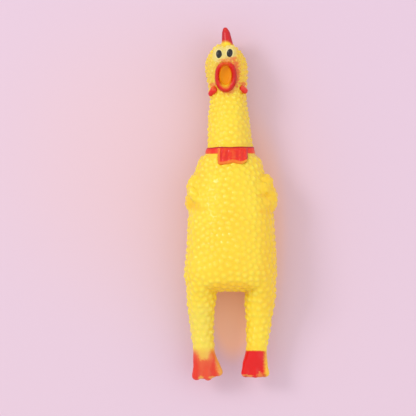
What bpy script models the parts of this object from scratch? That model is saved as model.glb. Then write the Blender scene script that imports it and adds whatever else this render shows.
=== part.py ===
"""Rubber chicken: a squeeze toy of soft vinyl, lying on its back.

The toy is one hollow moulding with a reed squeaker behind the open beak. Here the skin is built as
sections that meet where it flexes, with a thin seam of air between them.

Frame: +X to the chicken's left, +Y from the feet to the comb, +Z out of the belly. The origin is under
the middle of the toy, on the surface that it lies on.
"""

import math

import bmesh
import bpy
from mathutils import Matrix, Vector

MM = 0.001
PARTS = "rubber_chicken"  # the collection of the parts
CUTTERS = "cutters"  # the collection of the shapes that only cut them

# ---------------------------------------------------------------- driving dimensions, in millimetres
LENGTH = 155.0  # tip of the toes to tip of the comb
WALL = 1.1  # thickness of the moulded skin
GAP = 0.3  # seam between two pieces that touch
AROUND = 24  # points round a section of the skin

# Stations are counted along the body, from the toe tips.
CROTCH = 38.6
TRUNK_TOP = 103.0
NECK = (111.0, 117.0)  # the stiff part of the neck, between its two flexible rings
HEAD_START = 123.8
HIP_RING_END = 33.0
HIP_RING_TOP = CROTCH - 0.75  # the wall leans here, so its inner edge lies higher than its outer one
THIGH_END = 28.0
KNEE_RING_END = 21.0
ANKLE = 11.5

# (station, centre x, centre z, half width, half depth) of the body, the neck and the head
TRUNK = (
    (CROTCH, 0.0, 14.6, 18.2, 9.6),
    (40.6, 0.0, 15.0, 19.6, 12.6),
    (46.5, 0.0, 15.3, 20.3, 15.2),
    (57.0, 0.0, 15.4, 19.6, 16.0),
    (67.6, 0.0, 15.2, 19.0, 15.8),
    (78.0, 0.0, 14.8, 18.0, 15.1),
    (88.0, -0.3, 14.0, 16.4, 13.7),
    (94.5, -0.6, 13.4, 14.0, 11.9),
    (98.8, -0.4, 12.9, 11.0, 10.0),
    (TRUNK_TOP, -0.4, 12.6, 10.1, 9.4),
    (112.0, -0.8, 12.4, 9.4, 9.0),
    (118.0, -1.1, 12.2, 8.6, 8.5),
    (HEAD_START, -1.2, 12.0, 7.8, 8.3),
    (129.5, -1.5, 12.0, 8.3, 9.2),
    (136.5, -1.9, 12.0, 9.1, 10.0),
    (141.5, -2.2, 12.2, 8.0, 9.2),
    (145.0, -2.3, 12.5, 5.8, 7.0),
    (147.2, -2.4, 12.8, 2.8, 3.6),
)

# The same for the leg on the +X side. The other leg is its mirror image.
LEG = (
    (42.5, 12.6, 14.3, 6.5, 9.9),
    (38.0, 12.6, 13.8, 6.4, 9.2),
    (33.0, 12.5, 12.9, 6.0, 8.0),
    (25.0, 12.2, 11.9, 5.2, 6.2),
    (17.5, 11.8, 11.3, 4.7, 5.2),
    (10.0, 11.5, 11.0, 4.7, 4.6),
)

FOOT = (
    (3.4, 11.0, 11.2, 5.2, 2.1),
    (6.0, 11.2, 11.1, 5.4, 3.2),
    (9.0, 11.5, 11.0, 4.9, 4.2),
    (ANKLE, 11.55, 11.0, 4.7, 4.6),
)
TOE = (4.4, 2.1, 2.5)  # half its length, half its width, half its thickness
# x, station of the tip and turn of each toe
TOES = {
    "right": ((-14.6, 0.0, 6.0), (-9.8, 0.0, -4.0), (-5.9, 2.2, -24.0)),
    "left": ((7.2, 2.2, 16.0), (11.2, 1.2, 0.0), (14.6, 1.8, -6.0)),
}

# The front of the belly is pressed in to make the squeak.
BELLY_MIDDLE = (0.0, 66.0)  # x and station
PRESS_PAD = (12.5, 17.5)  # half width and half length of the area that a thumb pushes in
PRESS_EDGE = (16.4, 22.5)  # the same for the flexible edge round it
BELLY_FROM = 17.0  # height that both areas lie above
LOW, HIGH = 10.0, 41.0  # heights between which a cutter passes through the front of the toy

# Middle (x on the +X side), radii and turn of a wing
WING = ((13.6, 82.4, 16.5), (6.7, 9.2, 6.6), 7.0)

MOUTH = (-2.55, 133.8)  # x and station of the opening's middle
MOUTH_OPENING = (2.75, 4.8)  # half width and half length
THROAT = (15.9, 20.2)  # bottom and top of the throat's cup
THROAT_WALL = 0.75
AIR_HOLE = (3.2, 0.8)  # how far it lies from the middle towards the chin, and its radius
BEAK_MIDDLE = (-2.3, 133.2, 22.2)
BEAK_RIM = (3.75, 5.7)  # the rim's centre line
BEAK_LIP = (1.02, 1.9)  # half the lip's thickness, and how far it stands out

# (x, station, z) and radii of each lobe of the comb, from the front
COMB_TURN = 4.0
COMB_LOBES = (
    ("comb", (-2.0, 148.2, 14.5), (2.2, 6.9, 3.3)),
    ("comb_middle_lobe", (-2.2, 147.6, 10.6), (2.0, 5.4, 2.9)),
    ("comb_back_lobe", (-2.3, 145.8, 7.2), (1.8, 4.6, 2.6)),
)
EYES = {"right": (-5.3, 143.0, 19.4), "left": (-0.65, 143.4, 20.0)}
EYE_RADII = (2.05, 2.6, 2.0)
PUPIL_RADII = (1.3, 1.85, 2.5)
PUPIL_PROUD = 0.5  # how far its middle lies above the middle of the white
# middle, radii and turn of each wattle
WATTLES = {
    "right": ((-8.5, 126.6, 14.6), (2.5, 1.6, 2.6), 35.0),
    "left": ((5.6, 127.6, 17.4), (2.0, 1.9, 2.2), -30.0),
}

COLLAR = (99.2, 102.4)  # stations of its lower and upper edge
COLLAR_PROUD = 0.9
BOW = (7.3, 4.6, 2.6)  # half width, half length and thickness of its cage
BOW_MIDDLE = (0.75, 97.7, 23.4)
BOW_TILT = -19.0
BOW_WAIST = 0.62  # length at its middle, as a part of its length at the ends

SQUEAKER = (-2.0, 133.0)  # x and station of its axis, which points out of the mouth
HOUSING_RADIUS = 4.4
HOUSING = (6.2, 13.0)  # bottom and top of the housing
HOUSING_WALL = 0.8
CAP = (13.3, 14.5)
CAP_HOLES = 5
CAP_HOLE = (0.6, 2.5)  # radius of a hole, and of the ring that the holes stand on
INLET = (0.9, 2.2)  # radius of the air inlet, and how far it lies from the axis
REED = (2.4, 0.2, 4.6)  # width, thickness and length of the reed
REED_FOOT = 7.6  # height of the reed's clamped end
REED_CLAMPED = 0.4  # length of reed below that height
REED_OFFSET = 0.4  # how far the reed lies from the axis, towards the comb
SEAT = (3.2, 1.8, 4.8)
TROUGH = (0.8, 0.9)  # half width and depth of the channel that the reed beats against
CLIP = (3.0, 1.2, 1.3)

SIDES = (("right", -1), ("left", 1))

VINYL_YELLOW = (0.95, 0.66, 0.05)
PAINT_RED = (0.78, 0.03, 0.03)
PAINT_ORANGE = (0.9, 0.33, 0.02)
PAINT_WHITE = (0.9, 0.87, 0.82)
PAINT_BLACK = (0.01, 0.01, 0.012)
SQUEAKER_WHITE = (0.8, 0.8, 0.78)
REED_FILM = (0.55, 0.6, 0.62)


# ---------------------------------------------------------------- small helpers
def at(x, station, z):
    """A point in metres, from a place in millimetres with its station along the body."""
    return Vector((x, station - LENGTH / 2, z)) * MM


def turned(x=0.0, y=0.0, z=0.0):
    return (
        Matrix.Rotation(math.radians(z), 4, "Z")
        @ Matrix.Rotation(math.radians(y), 4, "Y")
        @ Matrix.Rotation(math.radians(x), 4, "X")
    )


def collection(name):
    made = bpy.data.collections.new(name)
    bpy.context.scene.collection.children.link(made)
    return made


def material(name, colour, roughness):
    made = bpy.data.materials.new(name)
    made.use_nodes = True
    shader = made.node_tree.nodes["Principled BSDF"]
    shader.inputs["Base Color"].default_value = (*colour, 1.0)
    shader.inputs["Roughness"].default_value = roughness
    made.diffuse_color = (*colour, 1.0)
    return made


def new_object(name, bm, finish):
    """An object from bm. With no finish it is a cutter."""
    mesh = bpy.data.meshes.new(name)
    bmesh.ops.recalc_face_normals(bm, faces=bm.faces)
    bm.to_mesh(mesh)
    bm.free()
    return place(bpy.data.objects.new(name, mesh), finish)


def place(made, finish):
    if finish:
        bpy.data.collections[PARTS].objects.link(made)
        made.data.materials.append(finish)
    else:
        bpy.data.collections[CUTTERS].objects.link(made)
        made.hide_render = True
        made.display_type = "WIRE"
    made.data.shade_smooth()
    made.data.set_sharp_from_angle(angle=math.radians(40))
    return made


def boolean(made, operation, *others):
    for other in others:
        step = made.modifiers.new(other.name, "BOOLEAN")
        step.operation = operation
        step.object = other
        step.solver = "EXACT"


# ---------------------------------------------------------------- lofts through the stations
def section_at(stations, s):
    """The section at station s, on a smooth curve through the given ones."""
    rows = sorted(stations)
    i = max(1, min(len(rows) - 1, sum(row[0] <= s for row in rows)))
    low, high = rows[i - 1], rows[i]
    before, after = rows[max(i - 2, 0)], rows[min(i + 1, len(rows) - 1)]
    width = high[0] - low[0]
    t = min(max((s - low[0]) / width, 0.0), 1.0)
    found = []
    for a, b, c, d in zip(before[1:], low[1:], high[1:], after[1:]):
        slope_low = (c - a) / (high[0] - before[0]) * width
        slope_high = (d - b) / (after[0] - low[0]) * width
        found.append(
            b * (2 * t**3 - 3 * t**2 + 1)
            + slope_low * (t**3 - 2 * t**2 + t)
            + c * (3 * t**2 - 2 * t**3)
            + slope_high * (t**3 - t**2)
        )
    return found


def ring(bm, stations, s, side=1, grown=0.0):
    """One section as a ring of vertices, flat underneath where it would pass the surface below."""
    cx, cz, half_width, half_depth = section_at(stations, s)
    made = []
    for i in range(AROUND):
        turn = math.tau * i / AROUND
        x = side * cx + (half_width + grown) * math.cos(turn)
        z = max(cz + (half_depth + grown) * math.sin(turn), -grown)
        made.append(bm.verts.new(at(x, s, z)))
    return made


def loft(name, stations, rows, finish, side=1, grown=0.0, closed=(False, False)):
    """A surface through the sections at rows. closed says which of its two ends have a flat face."""
    bm = bmesh.new()
    rings = [ring(bm, stations, s, side, grown) for s in rows]
    for low, high in zip(rings, rings[1:]):
        for i in range(AROUND):
            j = (i + 1) % AROUND
            bm.faces.new((low[i], low[j], high[j], high[i]))
    for edge, is_closed in zip((rings[0], rings[-1]), closed):
        if is_closed:
            bm.faces.new(edge)
    return new_object(name, bm, finish)


def rows_between(low, high, step):
    count = max(1, round((high - low) / step))
    return [low + (high - low) * i / count for i in range(count + 1)]


def skin(name, stations, rows, finish, side=1, closed=(False, False)):
    """A length of the moulded skin, with its real wall."""
    made = loft(name, stations, rows, finish, side, closed=closed)
    wall = made.modifiers.new("Wall", "SOLIDIFY")
    wall.thickness = WALL * MM
    wall.offset = -1.0
    return made


# ---------------------------------------------------------------- simple forms
def ellipsoid(name, centre, radii, finish, turn=None, segments=16, rings=10):
    bm = bmesh.new()
    bmesh.ops.create_uvsphere(bm, u_segments=segments, v_segments=rings, radius=MM)
    bmesh.ops.transform(bm, matrix=Matrix.Diagonal((*radii, 1.0)), verts=bm.verts)
    bmesh.ops.transform(bm, matrix=turn or Matrix(), verts=bm.verts)
    made = new_object(name, bm, finish)
    made.location = at(*centre)
    return made


def cylinder(name, middle, radii, low, high, finish, segments=24):
    """An upright cylinder with an elliptic section. middle holds its x and station."""
    bm = bmesh.new()
    bmesh.ops.create_cone(
        bm, cap_ends=True, segments=segments, radius1=MM, radius2=MM, depth=(high - low) * MM
    )
    bmesh.ops.transform(bm, matrix=Matrix.Diagonal((radii[0], radii[1], 1.0, 1.0)), verts=bm.verts)
    made = new_object(name, bm, finish)
    made.location = at(*middle, (low + high) / 2)
    return made


def block(name, centre, size, finish):
    bm = bmesh.new()
    bmesh.ops.create_cube(bm, size=MM)
    bmesh.ops.transform(bm, matrix=Matrix.Diagonal((*size, 1.0)), verts=bm.verts)
    made = new_object(name, bm, finish)
    made.location = at(*centre)
    return made


def grown_by(amount, radii):
    return tuple(r + amount for r in radii)


TRUNK_ROWS = [CROTCH, 39.4, 41.0, *rows_between(44.0, 94.0, 5.0), 98.0]
HEAD_ROWS = [*rows_between(HEAD_START + GAP / 2, 141.5, 3.0), 143.6, 145.4, 146.8]


# ---------------------------------------------------------------- trunk
def make_trunk(vinyl):
    rows = [*TRUNK_ROWS, TRUNK_TOP]
    pad_hole = cylinder("pad_hole", BELLY_MIDDLE, PRESS_PAD, BELLY_FROM, HIGH, None)
    pad_room = cylinder("pad_room", BELLY_MIDDLE, grown_by(GAP, PRESS_PAD), LOW, HIGH + 1.0, None)
    edge_hole = cylinder("edge_hole", BELLY_MIDDLE, PRESS_EDGE, BELLY_FROM, HIGH, None, 32)
    edge_room = cylinder(
        "edge_room", BELLY_MIDDLE, grown_by(GAP, PRESS_EDGE), BELLY_FROM - GAP, HIGH + 1.0, None, 32
    )
    hips = [hip_opening(name, side) for name, side in SIDES]
    torso = skin("torso_skin", TRUNK, rows, vinyl, closed=(True, False))
    boolean(torso, "DIFFERENCE", edge_room, *hips)
    edge = skin("belly_flex", TRUNK, rows, vinyl, closed=(True, False))
    boolean(edge, "INTERSECT", edge_hole)
    boolean(edge, "DIFFERENCE", pad_room)
    pad = skin("belly_press_pad", TRUNK, rows, vinyl, closed=(True, False))
    boolean(pad, "INTERSECT", pad_hole)


def hip_opening(name, side):
    """The opening between the trunk and one hollow leg."""
    ends = (CROTCH - 2.5, CROTCH + 3.4)
    return loft(f"{name}_hip_opening", LEG, ends, None, side, grown=-WALL, closed=(True, True))


def make_wings(vinyl, room):
    for name, side in SIDES:
        (x, station, z), radii, turn = WING
        middle = (side * x, station, z)
        wing = ellipsoid(f"wing_{name}", middle, radii, vinyl, turned(z=side * turn))
        boolean(wing, "DIFFERENCE", room)


# ---------------------------------------------------------------- neck and head
def make_neck(vinyl):
    half = GAP / 2
    skin("neck_base_flex", TRUNK, rows_between(TRUNK_TOP + GAP, NECK[0] - half, 4.0), vinyl)
    skin("neck_skin", TRUNK, rows_between(NECK[0] + half, NECK[1] - half, 3.0), vinyl)
    skin("neck_top_flex", TRUNK, rows_between(NECK[1] + half, HEAD_START - half, 3.4), vinyl)


def make_head(vinyl):
    head = skin("head_skin", TRUNK, HEAD_ROWS, vinyl, closed=(False, True))
    mouth_size = grown_by(THROAT_WALL + GAP, MOUTH_OPENING)
    mouth_hole = cylinder("mouth_hole", MOUTH, mouth_size, THROAT[0] - 2.0, HIGH, None)
    boolean(head, "DIFFERENCE", mouth_hole)


def make_throat(paint):
    """The orange cup inside the beak, with the hole that the air comes out of."""
    low, high = THROAT
    cup = cylinder("throat_lining", MOUTH, grown_by(THROAT_WALL, MOUTH_OPENING), low, high, paint)
    hollow = cylinder("throat_hollow", MOUTH, MOUTH_OPENING, low + THROAT_WALL, high + 5.0, None)
    hole_at = (MOUTH[0], MOUTH[1] - AIR_HOLE[0])
    air_hole = cylinder("throat_air_hole", hole_at, (AIR_HOLE[1],) * 2, low - 1.0, high, None, 12)
    boolean(cup, "DIFFERENCE", hollow, air_hole)


def make_beak(paint, room):
    """The rim of the wide open beak: a tube along an ellipse, made a mesh so that it can be cut."""
    lip, height = BEAK_LIP
    curve = bpy.data.curves.new("beak_rim", "CURVE")
    curve.dimensions = "3D"
    curve.bevel_depth = lip * MM
    curve.bevel_resolution = 2
    spline = curve.splines.new("POLY")
    count = 32
    spline.points.add(count - 1)
    for i, point in enumerate(spline.points):
        turn = math.tau * i / count
        point.co = (BEAK_RIM[0] * MM * math.cos(turn), BEAK_RIM[1] * MM * math.sin(turn), 0.0, 1.0)
    spline.use_cyclic_u = True
    guide = bpy.data.objects.new("beak_rim", curve)
    bpy.data.collections[CUTTERS].objects.link(guide)
    bpy.context.view_layer.update()
    graph = bpy.context.evaluated_depsgraph_get()
    mesh = bpy.data.meshes.new_from_object(guide.evaluated_get(graph))
    bpy.data.objects.remove(guide)
    mesh.transform(Matrix.Diagonal((1.0, 1.0, height / lip, 1.0)))
    mesh.materials.clear()
    rim = place(bpy.data.objects.new("beak_ring", mesh), paint)
    rim.location = at(*BEAK_MIDDLE)
    boolean(rim, "DIFFERENCE", room)


def make_comb(paint, room):
    """A thin fin of three lobes, with the tall one at the front."""
    front, *others = COMB_LOBES
    comb = ellipsoid(*front, paint, turned(z=COMB_TURN))
    boolean(comb, "UNION", *[ellipsoid(*lobe, None) for lobe in others])
    boolean(comb, "DIFFERENCE", room)


def make_eyes(white, black, room):
    for name, (x, station, z) in EYES.items():
        centre = (x, station, z)
        ball = ellipsoid(f"eye_white_{name}", centre, EYE_RADII, white)
        boolean(ball, "DIFFERENCE", room)
        ball_room = ellipsoid(f"eye_room_{name}", centre, grown_by(GAP, EYE_RADII), None)
        pupil = ellipsoid(f"pupil_{name}", (x, station, z + PUPIL_PROUD), PUPIL_RADII, black)
        boolean(pupil, "DIFFERENCE", ball_room, room)


def make_wattles(paint, room):
    for name, (centre, radii, tilt) in WATTLES.items():
        wattle = ellipsoid(f"wattle_{name}", centre, radii, paint, turned(z=tilt))
        boolean(wattle, "DIFFERENCE", room)


# ---------------------------------------------------------------- collar and bow
def make_collar(paint, room):
    band = loft("collar_band", TRUNK, COLLAR, paint, grown=COLLAR_PROUD, closed=(True, True))
    boolean(band, "DIFFERENCE", room)


def make_bow(paint):
    """A bow tie hanging from the collar, from a coarse cage with a waist in the middle."""
    bm = bmesh.new()
    bmesh.ops.create_grid(bm, x_segments=6, y_segments=2, size=1.0)
    top = bmesh.ops.extrude_face_region(bm, geom=bm.faces[:])
    top_verts = [v for v in top["geom"] if isinstance(v, bmesh.types.BMVert)]
    for v in bm.verts:
        waist = BOW_WAIST + (1.0 - BOW_WAIST) * min(abs(v.co.x) * 1.6, 1.0)
        v.co = Vector((v.co.x * BOW[0], v.co.y * BOW[1] * waist, 0.0))
    for v in top_verts:
        v.co.z = BOW[2]
    bmesh.ops.scale(bm, vec=Vector((MM, MM, MM)), verts=bm.verts)
    bmesh.ops.transform(bm, matrix=turned(x=BOW_TILT), verts=bm.verts)
    bow = new_object("bow_tie", bm, paint)
    bow.location = at(*BOW_MIDDLE)
    smooth = bow.modifiers.new("Soft", "SUBSURF")
    smooth.levels = 1
    smooth.render_levels = 1
    rows = rows_between(COLLAR[0] - 11.0, COLLAR[1] + 3.6, 3.0)
    room = loft("collar_room", TRUNK, rows, None, grown=COLLAR_PROUD + GAP, closed=(True, True))
    boolean(bow, "DIFFERENCE", room)


# ---------------------------------------------------------------- legs
def make_leg(name, side, vinyl):
    half = GAP / 2
    spans = (
        ("hip_flex", HIP_RING_END + half, HIP_RING_TOP),
        ("thigh", THIGH_END + half, HIP_RING_END - half),
        ("knee_flex", KNEE_RING_END + half, THIGH_END - half),
        ("shank", ANKLE + half, KNEE_RING_END - half),
    )
    for piece, low, high in spans:
        skin(f"{piece}_{name}", LEG, rows_between(low, high, 4.5), vinyl, side)


def make_foot(name, side, toes, paint):
    """A webbed foot with three blunt toes."""
    rows = [*rows_between(FOOT[0][0], ANKLE - GAP / 2, 2.5)]
    foot = loft(f"foot_{name}", FOOT, rows, paint, side, closed=(True, True))
    long, wide, thick = TOE
    for i, (x, tip, turn) in enumerate(toes):
        centre = (x, tip + long, FOOT[0][2])
        radii = (wide, long, thick)
        toe = ellipsoid(f"toe_{i + 1}_{name}", centre, radii, None, turned(z=turn), 12, 8)
        boolean(foot, "UNION", toe)


# ---------------------------------------------------------------- squeaker
def make_squeaker(plastic, film):
    """Air comes in at the housing's bottom, shakes the reed against its seat, and leaves by the cap."""
    x, station = SQUEAKER
    low, high = HOUSING
    housing = cylinder("squeaker_housing", SQUEAKER, (HOUSING_RADIUS,) * 2, low, high, plastic)
    inside = HOUSING_RADIUS - HOUSING_WALL
    bore = cylinder("housing_bore", SQUEAKER, (inside,) * 2, low + HOUSING_WALL, high + 1.0, None)
    inlet_at = (x, station - INLET[1])
    inlet = cylinder("housing_inlet", inlet_at, (INLET[0],) * 2, low - 1.0, low + 2.0, None, 12)
    boolean(housing, "DIFFERENCE", bore, inlet)

    cap = cylinder("squeaker_cap", SQUEAKER, (HOUSING_RADIUS,) * 2, *CAP, plastic)
    for i in range(CAP_HOLES):
        turn = math.tau * i / CAP_HOLES
        radius, reach = CAP_HOLE
        middle = (x + reach * math.cos(turn), station + reach * math.sin(turn))
        ends = (CAP[0] - 1.0, CAP[1] + 1.0)
        hole = cylinder(f"cap_hole_{i + 1}", middle, (radius,) * 2, *ends, None, 10)
        boolean(cap, "DIFFERENCE", hole)

    _, thick, length = REED
    reed_station = station + REED_OFFSET
    reed_middle = REED_FOOT + length / 2 - REED_CLAMPED
    block("reed", (x, reed_station, reed_middle), REED, film)
    front = reed_station + thick / 2 + GAP
    seat = block("reed_seat", (x, front + SEAT[1] / 2, reed_middle), SEAT, plastic)
    trough = cylinder("reed_trough", (x, front), TROUGH, low, high + 1.0, None, 12)
    boolean(seat, "DIFFERENCE", trough)
    back = reed_station - thick / 2 - GAP
    block("reed_clip", (x, back - CLIP[1] / 2, REED_FOOT + REED_CLAMPED), CLIP, plastic)


# ---------------------------------------------------------------- the whole toy
for old in list(bpy.data.objects):
    bpy.data.objects.remove(old, do_unlink=True)
collection(PARTS)
collection(CUTTERS)

yellow = material("yellow_vinyl", VINYL_YELLOW, 0.38)
red = material("red_paint", PAINT_RED, 0.3)
orange = material("orange_paint", PAINT_ORANGE, 0.4)
white = material("white_paint", PAINT_WHITE, 0.3)
black = material("black_paint", PAINT_BLACK, 0.08)
plastic = material("squeaker_plastic", SQUEAKER_WHITE, 0.35)
film = material("reed_film", REED_FILM, 0.25)

skin_room = loft(
    "skin_room",
    TRUNK,
    [*TRUNK_ROWS, *rows_between(TRUNK_TOP, 120.0, 4.0), *HEAD_ROWS, HEAD_ROWS[-1] + GAP],
    None,
    grown=GAP,
    closed=(True, True),
)

make_trunk(yellow)
make_wings(yellow, skin_room)
make_neck(yellow)
make_head(yellow)
make_throat(orange)
make_beak(red, skin_room)
make_comb(red, skin_room)
make_eyes(white, black, skin_room)
make_wattles(red, skin_room)
make_collar(red, skin_room)
make_bow(red)
for side_name, side in SIDES:
    make_leg(side_name, side, yellow)
    make_foot(side_name, side, TOES[side_name], red)
make_squeaker(plastic, film)
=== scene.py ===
# %% [markdown]
# # A rubber chicken in soft vinyl
#
# The real toy is one hollow moulding of soft yellow vinyl with a pebbled skin. Its comb, beak, wattles,
# collar, bow tie and feet are sprayed red, and a small reed squeaker sits behind the beak. The frame that
# loads first holds the working parts and their joints. Everything after it makes the surface that is seen,
# in the same place and at the same size.
# %% Load the frame
import math

import bmesh
import bpy
import numpy as np
from mathutils import Matrix, Vector, noise
from mathutils.bvhtree import BVHTree
from mathutils.kdtree import KDTree


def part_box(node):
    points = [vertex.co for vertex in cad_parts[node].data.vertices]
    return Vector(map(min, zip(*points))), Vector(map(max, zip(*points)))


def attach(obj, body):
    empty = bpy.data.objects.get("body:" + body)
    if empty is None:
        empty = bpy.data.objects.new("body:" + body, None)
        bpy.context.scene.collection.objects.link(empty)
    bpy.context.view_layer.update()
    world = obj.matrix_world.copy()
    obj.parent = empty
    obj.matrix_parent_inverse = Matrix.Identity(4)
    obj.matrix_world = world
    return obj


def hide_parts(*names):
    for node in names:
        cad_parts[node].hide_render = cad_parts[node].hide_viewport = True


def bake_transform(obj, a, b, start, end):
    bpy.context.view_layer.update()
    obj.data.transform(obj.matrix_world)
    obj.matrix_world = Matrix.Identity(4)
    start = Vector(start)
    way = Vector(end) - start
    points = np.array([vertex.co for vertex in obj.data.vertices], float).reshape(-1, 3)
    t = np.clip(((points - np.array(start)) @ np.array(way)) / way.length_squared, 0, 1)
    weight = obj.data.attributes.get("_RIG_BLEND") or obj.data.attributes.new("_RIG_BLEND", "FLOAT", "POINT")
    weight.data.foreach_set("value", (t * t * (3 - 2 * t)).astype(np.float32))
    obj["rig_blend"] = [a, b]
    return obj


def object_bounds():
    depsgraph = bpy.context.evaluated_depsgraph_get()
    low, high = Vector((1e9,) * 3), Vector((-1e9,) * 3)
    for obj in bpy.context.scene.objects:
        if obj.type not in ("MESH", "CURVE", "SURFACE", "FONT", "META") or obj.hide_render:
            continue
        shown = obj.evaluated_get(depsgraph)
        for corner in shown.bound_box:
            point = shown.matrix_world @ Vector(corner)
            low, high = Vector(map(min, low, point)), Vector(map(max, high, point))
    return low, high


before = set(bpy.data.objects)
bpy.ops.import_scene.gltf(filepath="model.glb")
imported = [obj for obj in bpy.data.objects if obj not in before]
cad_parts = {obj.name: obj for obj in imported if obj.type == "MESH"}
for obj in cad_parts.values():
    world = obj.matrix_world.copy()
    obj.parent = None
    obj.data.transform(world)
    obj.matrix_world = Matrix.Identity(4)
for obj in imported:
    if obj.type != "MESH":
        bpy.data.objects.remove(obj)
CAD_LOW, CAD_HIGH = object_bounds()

MM = 0.001
FEET_Y = CAD_LOW.y
print("toy is", round((CAD_HIGH.y - CAD_LOW.y) / MM, 1), "mm long,", len(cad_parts), "parts in the frame")

# %% [markdown]
# Places along the toy are counted as *stations*, in millimetres from the tips of the toes. It is how a
# sculptor would mark up a long figure, and it keeps every number readable. The skin flexes at a few rings.
# Their ends are read from the frame, because the surface has to bend exactly there.
# %% Stations and flexible rings
def at(x, station, z):
    """A point in metres from a place in millimetres."""
    return Vector((x * MM, FEET_Y + station * MM, z * MM))


def span(node):
    """The first and last station of a part of the frame."""
    low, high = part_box(node)
    return (low.y - FEET_Y) / MM, (high.y - FEET_Y) / MM


NECK_BASE = span("neck_base_flex")
NECK_TOP = span("neck_top_flex")
HIP = span("hip_flex_left")
KNEE = span("knee_flex_left")
ANKLE = span("shank_left")[0]
print("neck bends at", [round(s, 1) for s in NECK_BASE], "hips at", [round(s, 1) for s in HIP])

# %% [markdown]
# The toy lies on its back and is seen from straight above, from far enough away that the perspective is
# slight. The camera isn't over the middle of the toy: it stands a little to its right-hand side, so the toy
# sits off centre in the picture.
# %% Camera
VIEW_WIDTH = 182.7 * MM  # what the picture takes in, at the toy's mid height
CAMERA_HEIGHT = 1.1
VIEW_MIDDLE = Vector((-10.1 * MM, -2.0 * MM, 14.0 * MM))

camera = bpy.data.objects.new("camera", bpy.data.cameras.new("camera"))
bpy.context.scene.collection.objects.link(camera)
camera.data.sensor_width = 36.0
camera.data.lens = 36.0 * CAMERA_HEIGHT / VIEW_WIDTH
camera.data.clip_start = 0.01
camera.location = VIEW_MIDDLE + Vector((0.0, 0.0, CAMERA_HEIGHT))
bpy.context.scene.camera = camera
print("lens", round(camera.data.lens), "mm")

# %% [markdown]
# ## Tools for soft forms
#
# A soft moulding has no sharp joins between its forms. A handy way to get that is to build each limb as a
# simple closed tube or ball, let them overlap, and fuse them with a voxel remesh. A little smoothing then
# rounds the creases, as the mould maker's hand does.
# %% Tubes and balls
LIMB_STEPS = 9  # a limb is a row of one more ball than this


def smooth_rows(rows, step):
    """The rows of a tube (station first) with more rows between them, on a smooth curve."""
    rows = sorted(rows)
    table = np.array(rows, float)
    slopes = np.gradient(table, table[:, 0], axis=0)
    count = max(2, round((table[-1, 0] - table[0, 0]) / step) + 1)
    found = []
    for s in np.linspace(table[0, 0], table[-1, 0], count):
        i = min(max(int(np.searchsorted(table[:, 0], s)) - 1, 0), len(rows) - 2)
        width = table[i + 1, 0] - table[i, 0]
        t = (s - table[i, 0]) / width
        found.append(
            table[i] * (2 * t**3 - 3 * t**2 + 1)
            + table[i + 1] * (3 * t**2 - 2 * t**3)
            + slopes[i] * width * (t**3 - 2 * t**2 + t)
            + slopes[i + 1] * width * (t**3 - t**2)
        )
    return np.array(found)


def squared(turn, power):
    """Cosine and sine of a turn, each raised to a power that squares the circle up or leaves it round."""
    c, n = math.cos(turn), math.sin(turn)
    return math.copysign(abs(c) ** power, c), math.copysign(abs(n) ** power, n)


def add_tube(bm, rows, around, squareness=2.0, step=1.0):
    """A closed tube through rows of (station, x, z, half width, half depth)."""
    rings = []
    for s, x, z, half_width, half_depth in smooth_rows(rows, step):
        ring = []
        for i in range(around):
            c, n = squared(math.tau * i / around, 2.0 / squareness)
            ring.append(bm.verts.new(at(x + half_width * c, s, z + half_depth * n)))
        rings.append(ring)
    for low, high in zip(rings, rings[1:]):
        for i in range(around):
            j = (i + 1) % around
            bm.faces.new((low[i], low[j], high[j], high[i]))
    bm.faces.new(rings[0])
    bm.faces.new(rings[-1])


def add_ball(bm, centre, radii, turn=(0.0, 0.0, 0.0)):
    """A stretched ball. centre is (x, station, z), radii and centre are in millimetres, turn in degrees."""
    x, y, z = (math.radians(a) for a in turn)
    spin = Matrix.Rotation(z, 4, "Z") @ Matrix.Rotation(y, 4, "Y") @ Matrix.Rotation(x, 4, "X")
    made = bmesh.ops.create_uvsphere(bm, u_segments=40, v_segments=24, radius=MM)["verts"]
    bmesh.ops.transform(bm, matrix=Matrix.Diagonal((*radii, 1.0)), verts=made)
    bmesh.ops.transform(bm, matrix=Matrix.Translation(at(*centre)) @ spin, verts=made)


def add_limb(bm, start, end, start_radius, end_radius, flat):
    """A round-ended limb between two places, thinner towards its end, and flattened in height by flat."""
    for i in range(LIMB_STEPS + 1):
        t = i / LIMB_STEPS
        radius = start_radius + (end_radius - start_radius) * t
        made = bmesh.ops.create_icosphere(bm, subdivisions=3, radius=radius * MM)["verts"]
        bmesh.ops.transform(bm, matrix=Matrix.Diagonal((1.0, 1.0, flat, 1.0)), verts=made)
        bmesh.ops.translate(bm, vec=at(*Vector(start).lerp(Vector(end), t)), verts=made)


print("tubes, balls and limbs are ready")

# %% [markdown]
# Fusing gives a mesh with a vertex about every voxel. Smoothing moves each vertex towards the middle of its
# neighbours, which numpy does in a fraction of a second. The helpers below also move whole arrays of numbers
# in and out of a mesh.
# %% Fuse and smooth
def read(rows, name, kind=np.float32, width=3):
    """A property of every vertex, face or edge, as one array."""
    found = np.empty(len(rows) * width, kind)
    rows.foreach_get(name, found)
    return found.reshape(-1, width) if width > 1 else found


def points_of(mesh):
    return read(mesh.vertices, "co").astype(float)


def normals_of(mesh):
    return read(mesh.vertex_normals, "vector").astype(float)


def set_points(mesh, points):
    mesh.vertices.foreach_set("co", points.astype(np.float32).ravel())
    mesh.update()


def store(mesh, name, values, kind="FLOAT", slot="value"):
    """Keeps values on the mesh, one for each vertex, for the materials to read."""
    made = mesh.attributes.new(name, kind, "POINT")
    made.data.foreach_set(slot, np.asarray(values, np.float32).ravel())


def mesh_of(bm, name):
    """Turns bm into a mesh and frees it."""
    made = bpy.data.meshes.new(name)
    bm.to_mesh(made)
    bm.free()
    return made


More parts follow.
